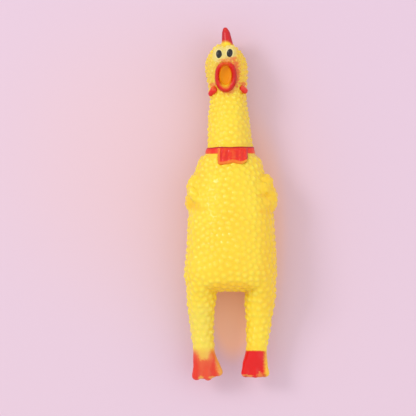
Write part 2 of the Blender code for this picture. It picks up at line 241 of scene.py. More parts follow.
def fused(bm, voxel):
    """One closed surface round everything in bm."""
    rough = mesh_of(bm, "rough")
    holder = bpy.data.objects.new("rough", rough)
    bpy.context.scene.collection.objects.link(holder)
    remesh = holder.modifiers.new("Fuse", "REMESH")
    remesh.mode = "VOXEL"
    remesh.voxel_size = voxel * MM
    bpy.context.view_layer.update()
    graph = bpy.context.evaluated_depsgraph_get()
    made = bpy.data.meshes.new_from_object(holder.evaluated_get(graph))
    bpy.data.objects.remove(holder)
    bpy.data.meshes.remove(rough)
    return made


def relax(mesh, times, amount=0.5):
    """Moves each vertex towards the middle of its neighbours, several times over."""
    points = points_of(mesh)
    a, b = read(mesh.edges, "vertices", np.int32, 2).T
    ends, others = np.concatenate([a, b]), np.concatenate([b, a])
    count = np.bincount(ends, minlength=len(points))[:, None]
    for _ in range(times):
        total = np.stack([np.bincount(ends, points[others, k], len(points)) for k in range(3)], axis=1)
        points += (total / count - points) * amount
    set_points(mesh, points)


def places_mm(points):
    """Points in metres as (x, station, z) in millimetres."""
    found = points / MM
    found[:, 1] -= FEET_Y / MM
    return found


def new_piece(name, mesh):
    made = bpy.data.objects.new(name, mesh)
    bpy.context.scene.collection.objects.link(made)
    mesh.polygons.foreach_set("use_smooth", np.ones(len(mesh.polygons), bool))
    return made


def keep_places(mesh):
    """Stores where each point rests, in millimetres, so that paint and grain stay put when the toy bends."""
    store(mesh, "rest_place", places_mm(points_of(mesh)), "FLOAT_VECTOR", "vector")


print("voxel tools are ready")

# %% [markdown]
# ## The moulded skin
#
# The body is a long bottle: a full belly, sloping shoulders, a tapering neck that leans a little to one
# side, and an egg of a head. Each row below is a station with the middle and the half size of the section
# there. The legs are two more tubes, nearly straight on the inside and tapering from the outside.
# %% Sections of the body and legs
# (station, x, z, half width, half depth)
BODY = (
    (39.3, 0.0, 14.6, 16.4, 6.6),
    (40.6, 0.0, 14.9, 18.3, 10.4),
    (43.0, -0.1, 15.2, 19.6, 13.4),
    (46.5, -0.2, 15.3, 20.1, 15.2),
    (51.8, -0.1, 15.4, 19.8, 15.9),
    (57.0, 0.1, 15.4, 19.4, 16.0),
    (62.3, 0.1, 15.3, 19.1, 15.9),
    (67.6, 0.0, 15.2, 18.8, 15.7),
    (73.0, 0.0, 14.9, 18.4, 15.3),
    (78.0, -0.1, 14.7, 17.6, 14.9),
    (84.0, -0.3, 14.3, 16.4, 14.2),
    (89.5, -0.75, 13.9, 15.4, 13.2),
    (91.5, -0.7, 13.7, 15.0, 12.6),
    (94.0, -0.55, 13.4, 14.25, 11.9),
    (96.0, -0.4, 13.2, 13.7, 11.3),
    (97.6, -0.35, 13.0, 12.8, 10.7),
    (98.8, -0.4, 12.9, 11.3, 10.1),
    (102.0, -0.4, 12.6, 10.1, 9.5),
    (109.8, -0.7, 12.4, 9.2, 9.0),
    (115.0, -1.0, 12.3, 8.7, 8.6),
    (120.3, -1.1, 12.1, 8.0, 8.3),
    (123.5, -1.2, 12.0, 7.6, 8.3),
    (128.2, -1.5, 12.0, 8.0, 9.0),
    (133.5, -1.8, 12.0, 8.7, 9.8),
    (137.4, -2.0, 12.0, 8.9, 10.0),
    (141.4, -2.2, 12.2, 7.9, 9.2),
    (144.0, -2.3, 12.4, 6.3, 7.8),
    (146.2, -2.4, 12.7, 4.2, 5.4),
    (147.5, -2.4, 12.8, 2.0, 2.8),
)
LEG = {
    "right": (
        (1.6, -10.9, 11.0, 4.9, 1.2),
        (3.6, -10.7, 11.1, 5.8, 1.9),
        (6.4, -10.7, 11.1, 6.0, 3.0),
        (9.0, -11.3, 11.0, 5.45, 4.1),
        (12.0, -11.85, 11.0, 4.85, 4.6),
        (14.9, -12.1, 11.1, 4.7, 4.9),
        (20.2, -12.6, 11.4, 4.8, 5.3),
        (25.5, -12.85, 11.8, 5.2, 5.9),
        (30.7, -13.0, 12.4, 5.65, 6.9),
        (36.0, -12.9, 13.1, 6.3, 8.5),
        (40.0, -12.8, 13.8, 6.5, 10.2),
        (46.0, -12.6, 14.6, 6.4, 11.6),
        (54.0, -11.8, 15.0, 5.6, 11.0),
    ),
    "left": (
        (2.0, 10.8, 11.0, 4.9, 1.2),
        (4.0, 10.7, 11.1, 5.5, 1.9),
        (6.6, 10.65, 11.1, 5.7, 3.0),
        (9.0, 10.8, 11.0, 5.25, 4.1),
        (12.0, 11.1, 11.0, 4.75, 4.6),
        (14.9, 11.4, 11.1, 4.55, 4.9),
        (20.2, 11.8, 11.4, 5.0, 5.3),
        (25.5, 12.3, 11.8, 5.4, 5.9),
        (30.7, 12.55, 12.4, 6.1, 6.9),
        (36.0, 12.85, 13.1, 6.6, 8.5),
        (40.0, 12.95, 13.8, 6.6, 10.2),
        (46.0, 12.6, 14.6, 6.4, 11.6),
        (54.0, 11.8, 15.0, 5.6, 11.0),
    ),
}
print(len(BODY), "sections make the body and", len(LEG["left"]), "make a leg")

# %% [markdown]
# The feet are small webbed paddles, the flattened ends of the leg tubes, with three blunt toes. The two feet
# aren't the same: one splays its inner toe, the other holds its toes together. Each toe is a limb from the
# web to its tip, so that a groove is left on both sides of it.
# %% Toes
# start, end, radius at the start and at the end: three toes, then the two webs between them
TOES = {
    "right": (
        ((-14.0, 9.6, 11.0), (-15.2, 1.6, 10.9), 2.0, 2.1),
        ((-10.9, 9.6, 11.9), (-10.1, 1.5, 11.2), 2.1, 2.1),
        ((-8.4, 9.8, 11.2), (-5.5, 3.3, 11.0), 2.0, 2.0),
        ((-12.6, 7.0, 11.0), (-12.7, 1.6, 10.9), 1.8, 1.5),
        ((-8.4, 7.0, 11.0), (-7.6, 2.2, 11.0), 1.7, 1.4),
    ),
    "left": (
        ((7.9, 9.8, 11.2), (6.5, 2.9, 11.0), 2.0, 2.1),
        ((10.6, 9.6, 11.9), (10.8, 2.7, 11.2), 2.1, 2.1),
        ((13.2, 9.6, 11.0), (15.0, 2.9, 11.0), 2.0, 2.05),
        ((9.2, 7.0, 11.0), (8.7, 2.5, 11.0), 1.8, 1.7),
        ((12.6, 7.0, 11.0), (12.9, 2.5, 11.0), 1.8, 1.7),
    ),
}
TOE_FLAT = 1.12


def add_toes(bm, side):
    for start, end, start_radius, end_radius in TOES[side]:
        add_limb(bm, start, end, start_radius, end_radius, TOE_FLAT)


print(len(TOES["right"]), "toes and webs on each foot")

# %% [markdown]
# The wings are folded against the flanks. Each one is a few overlapping lumps: the shoulder, the elbow that
# stands out furthest, and the folded tip that lies in towards the belly. Here too the two sides differ, as
# they do on a hand-carved pattern. The eyes sit in two soft swellings.
# %% Wings, brows and the fused skin
VOXEL = 0.3
# middle (x, station, z), radii and turn of each lump
WINGS = (
    ((-15.3, 84.4, 17.2), (4.15, 6.2, 4.6), (0.0, 0.0, -8.0)),
    ((-14.5, 79.9, 20.9), (2.7, 6.2, 3.3), (0.0, -14.0, 36.0)),
    ((-15.7, 78.0, 15.4), (4.35, 5.4, 5.4), (0.0, 0.0, 0.0)),
    ((14.5, 86.0, 17.2), (4.0, 4.6, 4.7), (0.0, 0.0, 0.0)),
    ((15.9, 79.4, 16.4), (4.5, 7.0, 5.5), (0.0, 0.0, 0.0)),
    ((13.9, 84.0, 20.8), (3.6, 3.0, 3.0), (0.0, 20.0, -24.0)),
    ((13.9, 77.6, 21.0), (3.6, 3.1, 3.1), (0.0, 20.0, 10.0)),
)
BROWS = ((-5.2, 143.0, 18.2), (-0.7, 143.5, 18.8))
BROW_RADII = (2.9, 3.3, 2.2)

bm = bmesh.new()
add_tube(bm, BODY, around=96, squareness=2.12)
for side, rows in LEG.items():
    add_tube(bm, rows, around=48, step=0.7)
    add_toes(bm, side)
for middle, radii, turn in WINGS:
    add_ball(bm, middle, radii, turn)
for middle in BROWS:
    add_ball(bm, middle, BROW_RADII)
skin_mesh = fused(bm, VOXEL)
relax(skin_mesh, 9)
print("skin has", len(skin_mesh.vertices), "vertices")

# %% [markdown]
# ## Cutting lines
#
# The skin is sculpted in one go, so that nothing shows where one piece ends and the next begins. It is cut
# into pieces only because each piece bends with other bodies of the frame. Edge loops are cut into the
# surface along those lines first. Every line lies where both neighbours move alike, just outside a ring
# that flexes.
# %% Edge loops along the cutting lines
CUT_NECK = NECK_BASE[0]
CUT_HEAD = NECK_TOP[0] - 0.1
CUT_HIP = HIP[1]
CUT_KNEE = KNEE[1] + 0.1
CUT_ANKLE = ANKLE
# The belly is bounded by one plane, which rises towards the neck and so stays clear of the bow.
BELLY_LOW = Vector((0.0, 42.0, 22.5))
BELLY_UP = Vector((0.0, -0.062, 1.0)).normalized()
BELLY_STATIONS = (HIP[1] + 0.6, 95.0)


def above_belly_plane(places):
    """How far places in millimetres lie above the plane that bounds the belly."""
    return (places - np.array(BELLY_LOW)) @ np.array(BELLY_UP)


def cut_loop(mesh, point, normal, low, high):
    """Adds an edge loop where a plane passes through the faces between two stations."""
    bm = bmesh.new()
    bm.from_mesh(mesh)
    near = [f for f in bm.faces if low <= (f.calc_center_median().y - FEET_Y) / MM <= high]
    geometry = near + list({e for f in near for e in f.edges}) + list({v for f in near for v in f.verts})
    bmesh.ops.bisect_plane(bm, geom=geometry, dist=1e-7, plane_co=point, plane_no=normal)
    bm.to_mesh(mesh)
    bm.free()


for station in (CUT_NECK, CUT_HEAD, CUT_HIP, CUT_KNEE, CUT_ANKLE):
    cut_loop(skin_mesh, at(0.0, station, 0.0), (0.0, 1.0, 0.0), station - 1.0, station + 1.0)
cut_loop(skin_mesh, at(*BELLY_LOW), BELLY_UP, *BELLY_STATIONS)
print("skin has", len(skin_mesh.polygons), "faces after cutting")

# %% [markdown]
# ## Goose bumps
#
# The whole skin is covered with small soft domes, the plucked chicken's goose bumps. They are close on the
# head and wider on the legs, and they stand in no clear rows. Throwing them at random and refusing any that
# comes too near another gives the right disorder. Then every bump moves to the middle of the skin that is
# nearest to it, which evens out the gaps.
# %% Where the bumps stand
BARE_MOUTH = (-2.39, 132.7, 5.1, 6.8)  # x, station, half width and half length of the smooth patch
BARE_ANKLE = 12.6
BARE_COLLAR = (98.0, 102.9)
EYES = {"right": (-5.27, 142.65), "left": (-0.63, 143.1)}
BARE_EYE = 2.9
FRONT = 13.0  # the face lies above this height
CLOSENESS = 0.86  # how near two bumps may be, as a part of their spacing
CELL = 2.8  # side of the boxes in which neighbours are looked up, more than the widest spacing allows
EVEN_OUT = 2  # times that the bumps move
THROW_SEED, HEIGHT_SEED = 7, 11


def spacing_at(stations):
    """How far apart the bumps stand, in millimetres."""
    return np.interp(stations, (10.0, 20.0, 36.0, 44.0, 96.0, 108.0, 132.0), (2.7, 3.0, 3.1, 2.8, 2.65, 2.45, 2.1))


def bare(places):
    """Which places on the skin are smooth: feet, collar, the lips of the beak and the rims of the eyes."""
    x, station, z = places.T
    mx, ms, mw, ml = BARE_MOUTH
    found = (station < BARE_ANKLE) | ((station > BARE_COLLAR[0]) & (station < BARE_COLLAR[1]))
    front = z > FRONT
    found |= front & (((x - mx) / mw) ** 2 + ((station - ms) / ml) ** 2 < 1.0)
    for ex, es in EYES.values():
        found |= front & (np.hypot(x - ex, station - es) < BARE_EYE)
    return found


AROUND = [(a, b, c) for a in (-1, 0, 1) for b in (-1, 0, 1) for c in (-1, 0, 1)]


def thrown(places, seed):
    """Places picked at random, none nearer to another than the spacing allows."""
    order = np.random.default_rng(seed).permutation(len(places))
    limits = spacing_at(places[:, 1]) * CLOSENESS
    kept, cells = [], {}
    keys = np.floor(places / CELL).astype(int).tolist()
    rows = places.tolist()
    for i in order.tolist():
        a, b, c = keys[i]
        x, y, z = rows[i]
        limit = limits[i] ** 2
        near = (other for da, db, dc in AROUND for other in cells.get((a + da, b + db, c + dc), ()))
        if any((x - o[0]) ** 2 + (y - o[1]) ** 2 + (z - o[2]) ** 2 < limit for o in near):
            continue
        cells.setdefault((a, b, c), []).append(rows[i])
        kept.append(i)
    return places[kept]


def nearest(seeds, places):
    """For each place, the index of the nearest seed and how far away it is."""
    tree = KDTree(len(seeds))
    for i, seed in enumerate(seeds):
        tree.insert(seed, i)
    tree.balance()
    found = [tree.find(place)[1:] for place in places]
    return np.array([i for i, _ in found]), np.array([d for _, d in found])


skin_places = places_mm(points_of(skin_mesh))
bumps = thrown(skin_places, THROW_SEED)
for _ in range(EVEN_OUT):
    owner, _ = nearest(bumps, skin_places)
    size = np.maximum(np.bincount(owner, minlength=len(bumps)), 1)
    bumps = np.stack([np.bincount(owner, skin_places[:, k], len(bumps)) / size for k in range(3)], axis=1)
bumps = bumps[~bare(bumps)]
print(len(bumps), "bumps on the skin")

# %% [markdown]
# Each bump is pushed out along the surface: highest in its middle, and level with the skin where it meets the
# next one. Real bumps are never quite equal, so each gets its own height. The back is pressed flat where the
# toy lies on it. The height is also stored on the mesh, because the vinyl's colour uses it for painted shade
# in the creases and a painted highlight on the tops of the bumps.
# %% Raise the bumps
BUMP_HEIGHT = 0.5
BUMP_REACH = 0.57  # how far a bump spreads, as a part of the spacing
BUMP_UNEVEN = 0.28
WING_BUMPS = 0.65  # how high they are on the wings, as a part of that


def raise_bumps(mesh, bumps):
    """Pushes the bumps out of a mesh and stores their height on it."""
    heights = 1.0 + BUMP_UNEVEN * np.random.default_rng(HEIGHT_SEED).uniform(-1.0, 1.0, len(bumps))
    points = points_of(mesh)
    places = places_mm(points)
    owner, distance = nearest(bumps, places)
    reach = spacing_at(places[:, 1]) * BUMP_REACH
    raised = (0.5 + 0.5 * np.cos(np.pi * np.minimum(distance / reach, 1.0))) ** 0.8 * heights[owner]
    raised *= np.interp(places[:, 1], (12.5, 17.0, 40.0, 50.0, 108.0, 124.0), (0.3, 1.1, 1.1, 1.0, 1.0, 1.3))
    on_wing = np.interp(np.abs(places[:, 0]), (10.5, 14.0), (0.0, 1.0))
    on_wing *= np.interp(places[:, 1], (71.0, 75.0, 88.0, 92.0), (0.0, 1.0, 1.0, 0.0))
    raised *= 1.0 - (1.0 - WING_BUMPS) * on_wing
    points += normals_of(mesh) * (raised * BUMP_HEIGHT * MM)[:, None]
    points[:, 2] = np.maximum(points[:, 2], 0.0)
    set_points(mesh, points)
    store(mesh, "bump", raised)


raise_bumps(skin_mesh, bumps)
keep_places(skin_mesh)
print("skin is", [round(float(v), 1) for v in np.ptp(points_of(skin_mesh), axis=0) / MM], "mm")

# %% [markdown]
# ## Cutting the skin into pieces
#
# Each face now goes to the piece it belongs to. Left alone, Blender would shade the edge of each piece as if
# the skin ended there, and a line would show. So every piece keeps the normals that the whole skin had.
# %% Sort the faces
WING_STATIONS = (72.5, 92.5)
WING_OUTSIDE, WING_X = 1.11, 9.0  # how far outside the bottle's own section, and how far from the middle
MOUTH_HOLE = (-2.43, 133.4, 3.9, 5.7)


def section_sizes(stations):
    """Middle x and z, half width and half depth of the body at each station."""
    table = smooth_rows(BODY, 0.25)
    return [np.interp(stations, table[:, 0], table[:, k]) for k in range(1, 5)]


def label_faces(mesh):
    """The name of the piece that each face belongs to."""
    places = places_mm(read(mesh.polygons, "center").astype(float))
    x, s, z = places.T
    side = np.where(x < 0.0, "right", "left")
    rest_height = above_belly_plane(places)
    labels = np.full(len(x), "torso", dtype=object)
    cx, cz, half_width, half_depth = section_sizes(s)
    outside = np.hypot((x - cx) / half_width, (z - cz) / half_depth)
    wing = (outside > WING_OUTSIDE) & (s > WING_STATIONS[0]) & (s < WING_STATIONS[1]) & (np.abs(x) > WING_X)
    labels[wing] = "wing_" + side[wing].astype(object)
    labels[(rest_height > 0.0) & (s > BELLY_STATIONS[0]) & (s < BELLY_STATIONS[1])] = "belly"
    labels[s > CUT_NECK] = "neck"
    labels[s > CUT_HEAD] = "head"
    for limit, name in ((CUT_HIP, "upper_leg_"), (CUT_KNEE, "lower_leg_"), (CUT_ANKLE, "foot_")):
        below = s < limit
        labels[below] = name + side[below].astype(object)
    mx, ms, mw, ml = MOUTH_HOLE
    labels[(((x - mx) / mw) ** 2 + ((s - ms) / ml) ** 2 < 1.0) & (z > FRONT)] = "mouth"
    return labels


def cut_out(mesh, labels, wanted, name):
    """A new piece from the faces with one label, with the whole skin's normals."""
    faces = np.nonzero(labels == wanted)[0]
    loops = [mesh.polygons[int(f)].vertices[:] for f in faces]
    used = np.unique(np.concatenate([np.array(l) for l in loops]))
    index = np.full(len(mesh.vertices), -1)
    index[used] = np.arange(len(used))
    made = bpy.data.meshes.new(name)
    made.from_pydata(points_of(mesh)[used].tolist(), [], [index[list(l)].tolist() for l in loops])
    piece = new_piece(name, made)
    made.normals_split_custom_set_from_vertices(normals_of(mesh)[used].tolist())
    keep_places(made)
    store(made, "bump", read(mesh.attributes["bump"].data, "value", width=1)[used])
    return piece


labels = label_faces(skin_mesh)
skin = {
    name: cut_out(skin_mesh, labels, name, f"skin_{name}")
    for name in sorted(set(labels) - {"mouth"})
}
print({name: len(piece.data.polygons) for name, piece in skin.items()})

# %% [markdown]
# ## Riding on the frame
#
# A piece that bends follows one body before a ring and the next body after it, and turns smoothly through
# the ring. The belly follows the chest at its sides and the press pad at its top, so it caves in when the
# pad is pushed. The rest rides on one body.
# %% Attach the skin
BELLY_BEND = (0.15, 6.6)  # heights above its plane between which the belly gives way


def bend(piece, parent, child, ring, towards_head, nodes):
    """Bends a piece from parent to child through a ring, between its first and last station."""
    start, end = ring if towards_head else ring[::-1]
    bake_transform(piece, parent, child, start=at(0.0, start, 0.0), end=at(0.0, end, 0.0))
    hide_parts(*nodes)


bend(skin["neck"], "torso", "neck", NECK_BASE, True, ("neck_base_flex", "neck_skin"))
bend(skin["head"], "neck", "head", NECK_TOP, True, ("neck_top_flex", "head_skin"))
for side in ("right", "left"):
    bend(skin[f"upper_leg_{side}"], "torso", f"thigh_{side}", HIP, False, (f"hip_flex_{side}", f"thigh_{side}"))
    bend(skin[f"lower_leg_{side}"], f"thigh_{side}", f"shank_{side}", KNEE, False,
         (f"knee_flex_{side}", f"shank_{side}"))
    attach(skin[f"foot_{side}"], f"shank_{side}")
    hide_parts(f"foot_{side}")
    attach(skin[f"wing_{side}"], "torso")
    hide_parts(f"wing_{side}")
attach(skin["torso"], "torso")
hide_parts("torso_skin")
start, end = (at(*(BELLY_LOW + BELLY_UP * height)) for height in BELLY_BEND)
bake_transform(skin["belly"], "torso", "belly", start=start, end=end)
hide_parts("belly_press_pad", "belly_flex")

# %% [markdown]
# ## Parts that are sprayed red
#
# Everything that is painted stands out from the skin as its own small form. To seat a form on the skin, a ray
# is shot down at the finished skin, bumps and all. Each form also stores how thin the spray is on it, from 0
# where the red is full to 1 where the yellow vinyl shows through. Below 0 the red is darker: painted shade on
# the side of the beak rim away from the key light and on its steep outer foot, on the steep sides of the
# comb, and in the folds of the bow and along its edge away from the key light. The top edge of the collar
# and the lower ends of the wattles are darker too.
# %% Seating on the skin
SKIN_TREE = BVHTree.FromPolygons([v.co for v in skin_mesh.vertices], [p.vertices for p in skin_mesh.polygons])
DOWN = Vector((0.0, 0.0, -1.0))
ABOVE = 60.0  # height that the rays start from


def skin_below(x, station):
    """Height of the skin in millimetres, and which way it faces, seen from the front."""
    place, normal = SKIN_TREE.ray_cast(at(x, station, ABOVE), DOWN)[:2]
    return place.z / MM, normal


def store_thin(mesh, values):
    store(mesh, "thin", np.clip(np.asarray(values, np.float32), -1.0, 1.0))


def finer(profile, count):
    """The columns of a short table, with count rows drawn between its own."""
    table = np.array(profile)
    fine = np.linspace(0, len(table) - 1, count)
    return [np.interp(fine, range(len(table)), column) for column in table.T]


def full_turn(count):
    return np.linspace(0.0, math.tau, count, endpoint=False)


def grid_piece(name, rows, close_round=False, cap=False):
    """A piece from rows of places in millimetres. close_round joins each row's end to its start."""
    count, width = np.shape(rows)[:2]
    points = [at(*place) for row in rows for place in row]
    faces = []
    for i in range(0, (count - 1) * width, width):
        for j in range(width if close_round else width - 1):
            k = (j + 1) % width
            faces.append((i + j, i + k, i + width + k, i + width + j))
    if cap:
        faces.append(tuple(range((count - 1) * width, count * width)))
    mesh = bpy.data.meshes.new(name)
    mesh.from_pydata(points, [], faces)
    fix = bmesh.new()
    fix.from_mesh(mesh)
    bmesh.ops.recalc_face_normals(fix, faces=fix.faces)
    fix.to_mesh(mesh)
    fix.free()
    keep_places(mesh)
    return new_piece(name, mesh)


print("the crown of the head is", round(skin_below(-2.3, 137.0)[0], 1), "mm above the floor")

# %% [markdown]
# The beak is wide open: a soft thick ring, longer than wide, that rises from the face and rolls over into
# the mouth. It is lofted between two ovals, one where it leaves the face and one round the opening, through a
# rounded profile. The chin side is the widest, as the two ovals don't share a middle.
# %% Beak
# x, station, half width, half length, and how square the upper half is: 2 is an ellipse
BEAK_OUTER = (-2.33, 132.6, 4.8, 6.62, 2.45)
BEAK_OPENING = (-2.46, 133.35, 2.56, 4.16, 2.15)
BEAK_CREST = 23.6  # height of a level crest; the real one is half level and half follows the face
BEAK_LIFT = 2.05  # how far the crest stands over its foot
# how far across the lip, height above the face, and how thin the paint is there
BEAK_PROFILE = (
    (-0.03, -0.7, 0.30),
    (0.00, 0.1, 0.15),
    (0.06, 0.95, 0.0),
    (0.17, 1.65, 0.0),
    (0.32, 2.0, 0.0),
    (0.48, 2.0, 0.04),
    (0.66, 1.7, 0.10),
    (0.82, 1.2, 0.16),
    (0.94, 0.6, 0.20),
    (1.00, -0.2, 0.30),
    (1.02, -1.2, 0.6),
    (1.02, -2.6, 0.8),
)
CHIN_THIN = 1.15  # how much thinner the paint is on the inner lip at the chin


def oval(rim, turn):
    x, station, half_width, half_length, squareness = rim
    c, n = squared(turn, 2.0 / squareness if math.sin(turn) > 0.0 else 1.0)
    return np.array((x + half_width * c, station + half_length * n))


def make_beak():
    across, lift, thin = finer(BEAK_PROFILE, 40)
    soft = np.array([0.25, 0.5, 0.25])
    for _ in range(3):
        for values in (across, lift):
            values[1:-1] = np.convolve(values, soft, "valid")
    turns = full_turn(96)
    rows, paint = [], []
    base = np.array([skin_below(*oval(BEAK_OUTER, turn))[0] for turn in turns])
    base = np.convolve(np.concatenate([base[-4:], base, base[:4]]), np.ones(9) / 9, "valid")
    for a, h, t in zip(across, lift, thin):
        row = []
        for turn, face in zip(turns, base):
            x, station = oval(BEAK_OUTER, turn) * (1 - a) + oval(BEAK_OPENING, turn) * a
            level = (face + BEAK_CREST - BEAK_LIFT) / 2
            row.append((x, station, level + h if h > 0 else level + h * 1.2))
            top = max(0.0, math.sin(turn)) ** 3
            chin = max(0.0, -math.sin(turn)) ** 2
            right = max(0.0, math.cos(turn))
            # a deeper red all round but the top; painted shade on the side away from the key light and on the steep
            # outer foot of the rim
            darkening = 0.15 + 0.25 * right + 0.35 * max(0.0, 1.0 - a / 0.2)
            t_here = t - darkening * (1.0 - top) * (1.0 - 0.8 * chin * a)
            paint.append(t_here + 0.22 * top * (1.0 - a) + CHIN_THIN * chin * max(0.0, a - 0.22))
        rows.append(row)
    beak = grid_piece("beak_rim", rows, close_round=True)
    store_thin(beak.data, paint)
    return beak


beak = make_beak()
print("beak rim:", len(beak.data.polygons), "faces")

# %% [markdown]
# Inside the beak is a shallow cup, sprayed amber. The air hole of the squeaker is under the lower lip. The
# cup is a bowl of ovals that shrink towards its bottom.
# %% Throat
# part of the opening's size, and height above the floor
CUP = ((1.12, 22.2), (1.08, 21.4), (1.02, 20.8), (0.92, 20.4), (0.7, 20.15), (0.4, 20.05), (0.12, 20.0))


def make_throat():
    x, station, half_width, half_length, squareness = BEAK_OPENING
    rows = []
    for part, z in zip(*finer(CUP, 19)):
        rim = (x, station, half_width * part, half_length * part, squareness)
        rows.append([(*oval(rim, turn), z) for turn in full_turn(64)])
    throat = grid_piece("throat_cup", rows, close_round=True, cap=True)
    throat.data.flip_normals()
    return throat


throat = make_throat()
print("throat:", len(throat.data.polygons), "faces")

# %% [markdown]
# The comb is a fin of three thick lobes from the forehead to the back of the head. Only the tall front lobe
# shows from the front. Its left side is nearly straight and its right side slopes. Each lobe is a tapering
# limb, and they are fused like the body.
# %% Comb
# start, end, and the radius at both
COMB_LOBES = (
    ((-1.6, 147.0, 15.0), (-2.2, 152.0, 15.3), 2.6, 1.85),
    ((-2.2, 152.0, 15.3), (-2.5, 153.6, 15.4), 1.85, 1.2),
    ((-2.1, 146.0, 11.2), (-2.4, 151.3, 10.2), 2.4, 1.1),
    ((-2.2, 144.6, 7.8), (-2.4, 148.9, 5.8), 2.2, 1.0),
)
COMB_DEEP = 1.25
COMB_PAINTED = (147.7, 149.3)  # stations between which the red fades in


def fused_limbs(name, limbs, flat, voxel, smooth, thin):
    """A piece of fused limbs. thin gives the paint from its places in millimetres and its normals."""
    bm = bmesh.new()
    for limb in limbs:
        add_limb(bm, *limb, flat)
    mesh = fused(bm, voxel)
    relax(mesh, smooth)
    piece = new_piece(name, mesh)
    store_thin(mesh, thin(places_mm(points_of(mesh)), normals_of(mesh)))
    keep_places(mesh)
    return piece


def comb_thin(places, normals):
    wavy = [0.35 * noise.noise(Vector(place) * 0.7) for place in places]
    fade = places[:, 1] + np.array(wavy) + 0.33 * (places[:, 0] + 2.7) - COMB_PAINTED[0]
    # painted shade: the comb's steep sides are darker red
    darkening = np.interp(np.abs(normals[:, 0]), (0.5, 0.9), (0.0, 0.45))
    return np.maximum(1.0 - fade / (COMB_PAINTED[1] - COMB_PAINTED[0]), 0.0) - darkening


comb = fused_limbs("comb_fin", COMB_LOBES, COMB_DEEP, voxel=0.2, smooth=12, thin=comb_thin)
print("comb:", len(comb.data.polygons), "faces")

# %% [markdown]
# The wattles are two fat drops at the jaw. One hangs lower and turns outwards, the other is small and
# rounder.
# %% Wattles
WATTLES = {
    "right": ((-7.45, 127.25, 18.5), (-8.85, 125.6, 16.6), 1.65, 1.25),
    "left": ((4.9, 127.9, 18.6), (6.0, 126.8, 17.5), 1.3, 1.4),
}
WATTLE_DEEP = 1.1


wattles = {
    side: fused_limbs(
        f"wattle_drop_{side}", [limb], WATTLE_DEEP, voxel=0.18, smooth=5,
        thin=lambda places, normals, top=limb[0][1]: 0.06 - 0.12 * (top - places[:, 1]),
    )
    for side, limb in WATTLES.items()
}
print("wattles:", [len(w.data.polygons) for w in wattles.values()], "faces")

# %% [markdown]
# Each eye is a cream oval with a glossy black bead on it. Both are shallow domes that lean with the face, so
# their middles are found with a ray, and they turn part of the way towards the skin's own direction.
# %% Eyes
EYE_CREAM = (2.0, 2.5, 1.0)
EYE_BLACK = (1.32, 1.87, 0.8)
EYE_LEAN = {"right": 2.0, "left": -9.0}  # turn of the black oval, in degrees


def make_dome(name, middle, radii, proud, lean, turn):
    """A flattened ball that lies on a place and faces along lean."""
    bm = bmesh.new()
    bmesh.ops.create_uvsphere(bm, u_segments=48, v_segments=32, radius=MM)
    stretch = Matrix.Diagonal((radii[0], radii[1] / lean.z, radii[2], 1.0))
    side = Vector((0.0, 1.0, 0.0)).cross(lean).normalized()
    spin = Matrix((side, lean.cross(side), lean)).transposed().to_4x4() @ Matrix.Rotation(math.radians(turn), 4, "Z")
    bmesh.ops.transform(bm, matrix=spin @ stretch, verts=bm.verts)
    bmesh.ops.translate(bm, vec=at(*middle) + lean * proud * MM, verts=bm.verts)
    mesh = mesh_of(bm, name)
    keep_places(mesh)
    return new_piece(name, mesh)


def make_eye(side):
    x, station = EYES[side]
    z, normal = skin_below(x, station)
    lean = (normal + Vector((0.0, 0.0, 1.1))).normalized()
    cream = make_dome(f"eye_cream_{side}", (x, station, z), EYE_CREAM, -0.45, lean, 0.0)
    black = make_dome(f"eye_black_{side}", (x, station, z), EYE_BLACK, 0.12, lean, EYE_LEAN[side])
    return cream, black


eyes = {side: make_eye(side) for side in EYES}
print("eyes:", [round(skin_below(*EYES[side])[0], 1) for side in EYES], "mm above the floor")

# %% [markdown]
# The collar is moulded with the skin and stands out only a little. It follows the neck, so rays are shot
# inwards at the skin all the way round, and the band is lofted a few tenths of a millimetre outside what they
# hit.
# %% Collar
NECK_X, NECK_Z = -0.45, 12.8  # the neck's axis
# station, how far out from the skin, and how thin the paint is
COLLAR_PROFILE = (
    (99.3, -0.5, 0.4),
    (99.5, 0.05, 0.3),
    (99.85, 0.38, 0.12),
    (100.6, 0.5, 0.04),
    (101.5, 0.52, 0.0),
    (102.0, 0.52, -0.1),
    (102.2, 0.5, -0.75),
    (102.6, 0.15, -0.8),
    (102.8, -0.5, -0.6),
)


def ring_radius(station, turns):
    """How far the skin lies from the neck's axis, in each direction."""
    middle = at(NECK_X, station, NECK_Z)
    found = []
    for turn in turns:
        way = Vector((math.cos(turn), 0.0, math.sin(turn)))
        hit = SKIN_TREE.ray_cast(middle + way * 30.0 * MM, -way)[0]
        found.append((hit - middle).length / MM)
    return np.array(found)


def make_collar():
    turns = full_turn(120)
    uneven = 0.08 * np.sin(turns * 3.0 + 0.7) + 0.06 * np.sin(turns * 7.0)
    uneven += 0.22 * np.cos(turns) + 0.25 * np.sin(turns) - 0.67
    rows, paint = [], []
    for station, out, thin in zip(*finer(COLLAR_PROFILE, 25)):
        reach = ring_radius(min(max(station, 99.3), 102.2), turns) + out
        rows.append([
            (NECK_X + r * math.cos(t), station + u, max(NECK_Z + r * math.sin(t), 0.05))
            for r, t, u in zip(reach, turns, uneven)
        ])
        paint += [thin] * len(turns)
    collar = grid_piece("collar", rows, close_round=True)
    store_thin(collar.data, paint)
    return collar


collar = make_collar()
print("collar:", len(collar.data.polygons), "faces")

# %% [markdown]
# The bow tie hangs from the collar on the slope of the chest. It is a puffy flap with a notch in its lower
# edge and upright folds. A grid is bent over the chest and raised by the sum of its rounded rim and those
# folds. The paint is thin on one side and along the lower rim. Painted shade darkens the valleys of the folds
# and the edge away from the key light.
# %% Bow tie
BOW_TOP = 101.7
BOW_SIDES = (-6.15, 7.45)
BOW_BOTTOM = ((-1.0, -0.85, -0.5, 0.0, 0.5, 0.7, 1.0), (94.7, 94.15, 94.3, 95.15, 94.45, 94.6, 95.8))
BOW_THICK = 1.5
BOW_RIM = (0.19, 0.46)  # how far the orange rim reaches in from the side and from the lower edge
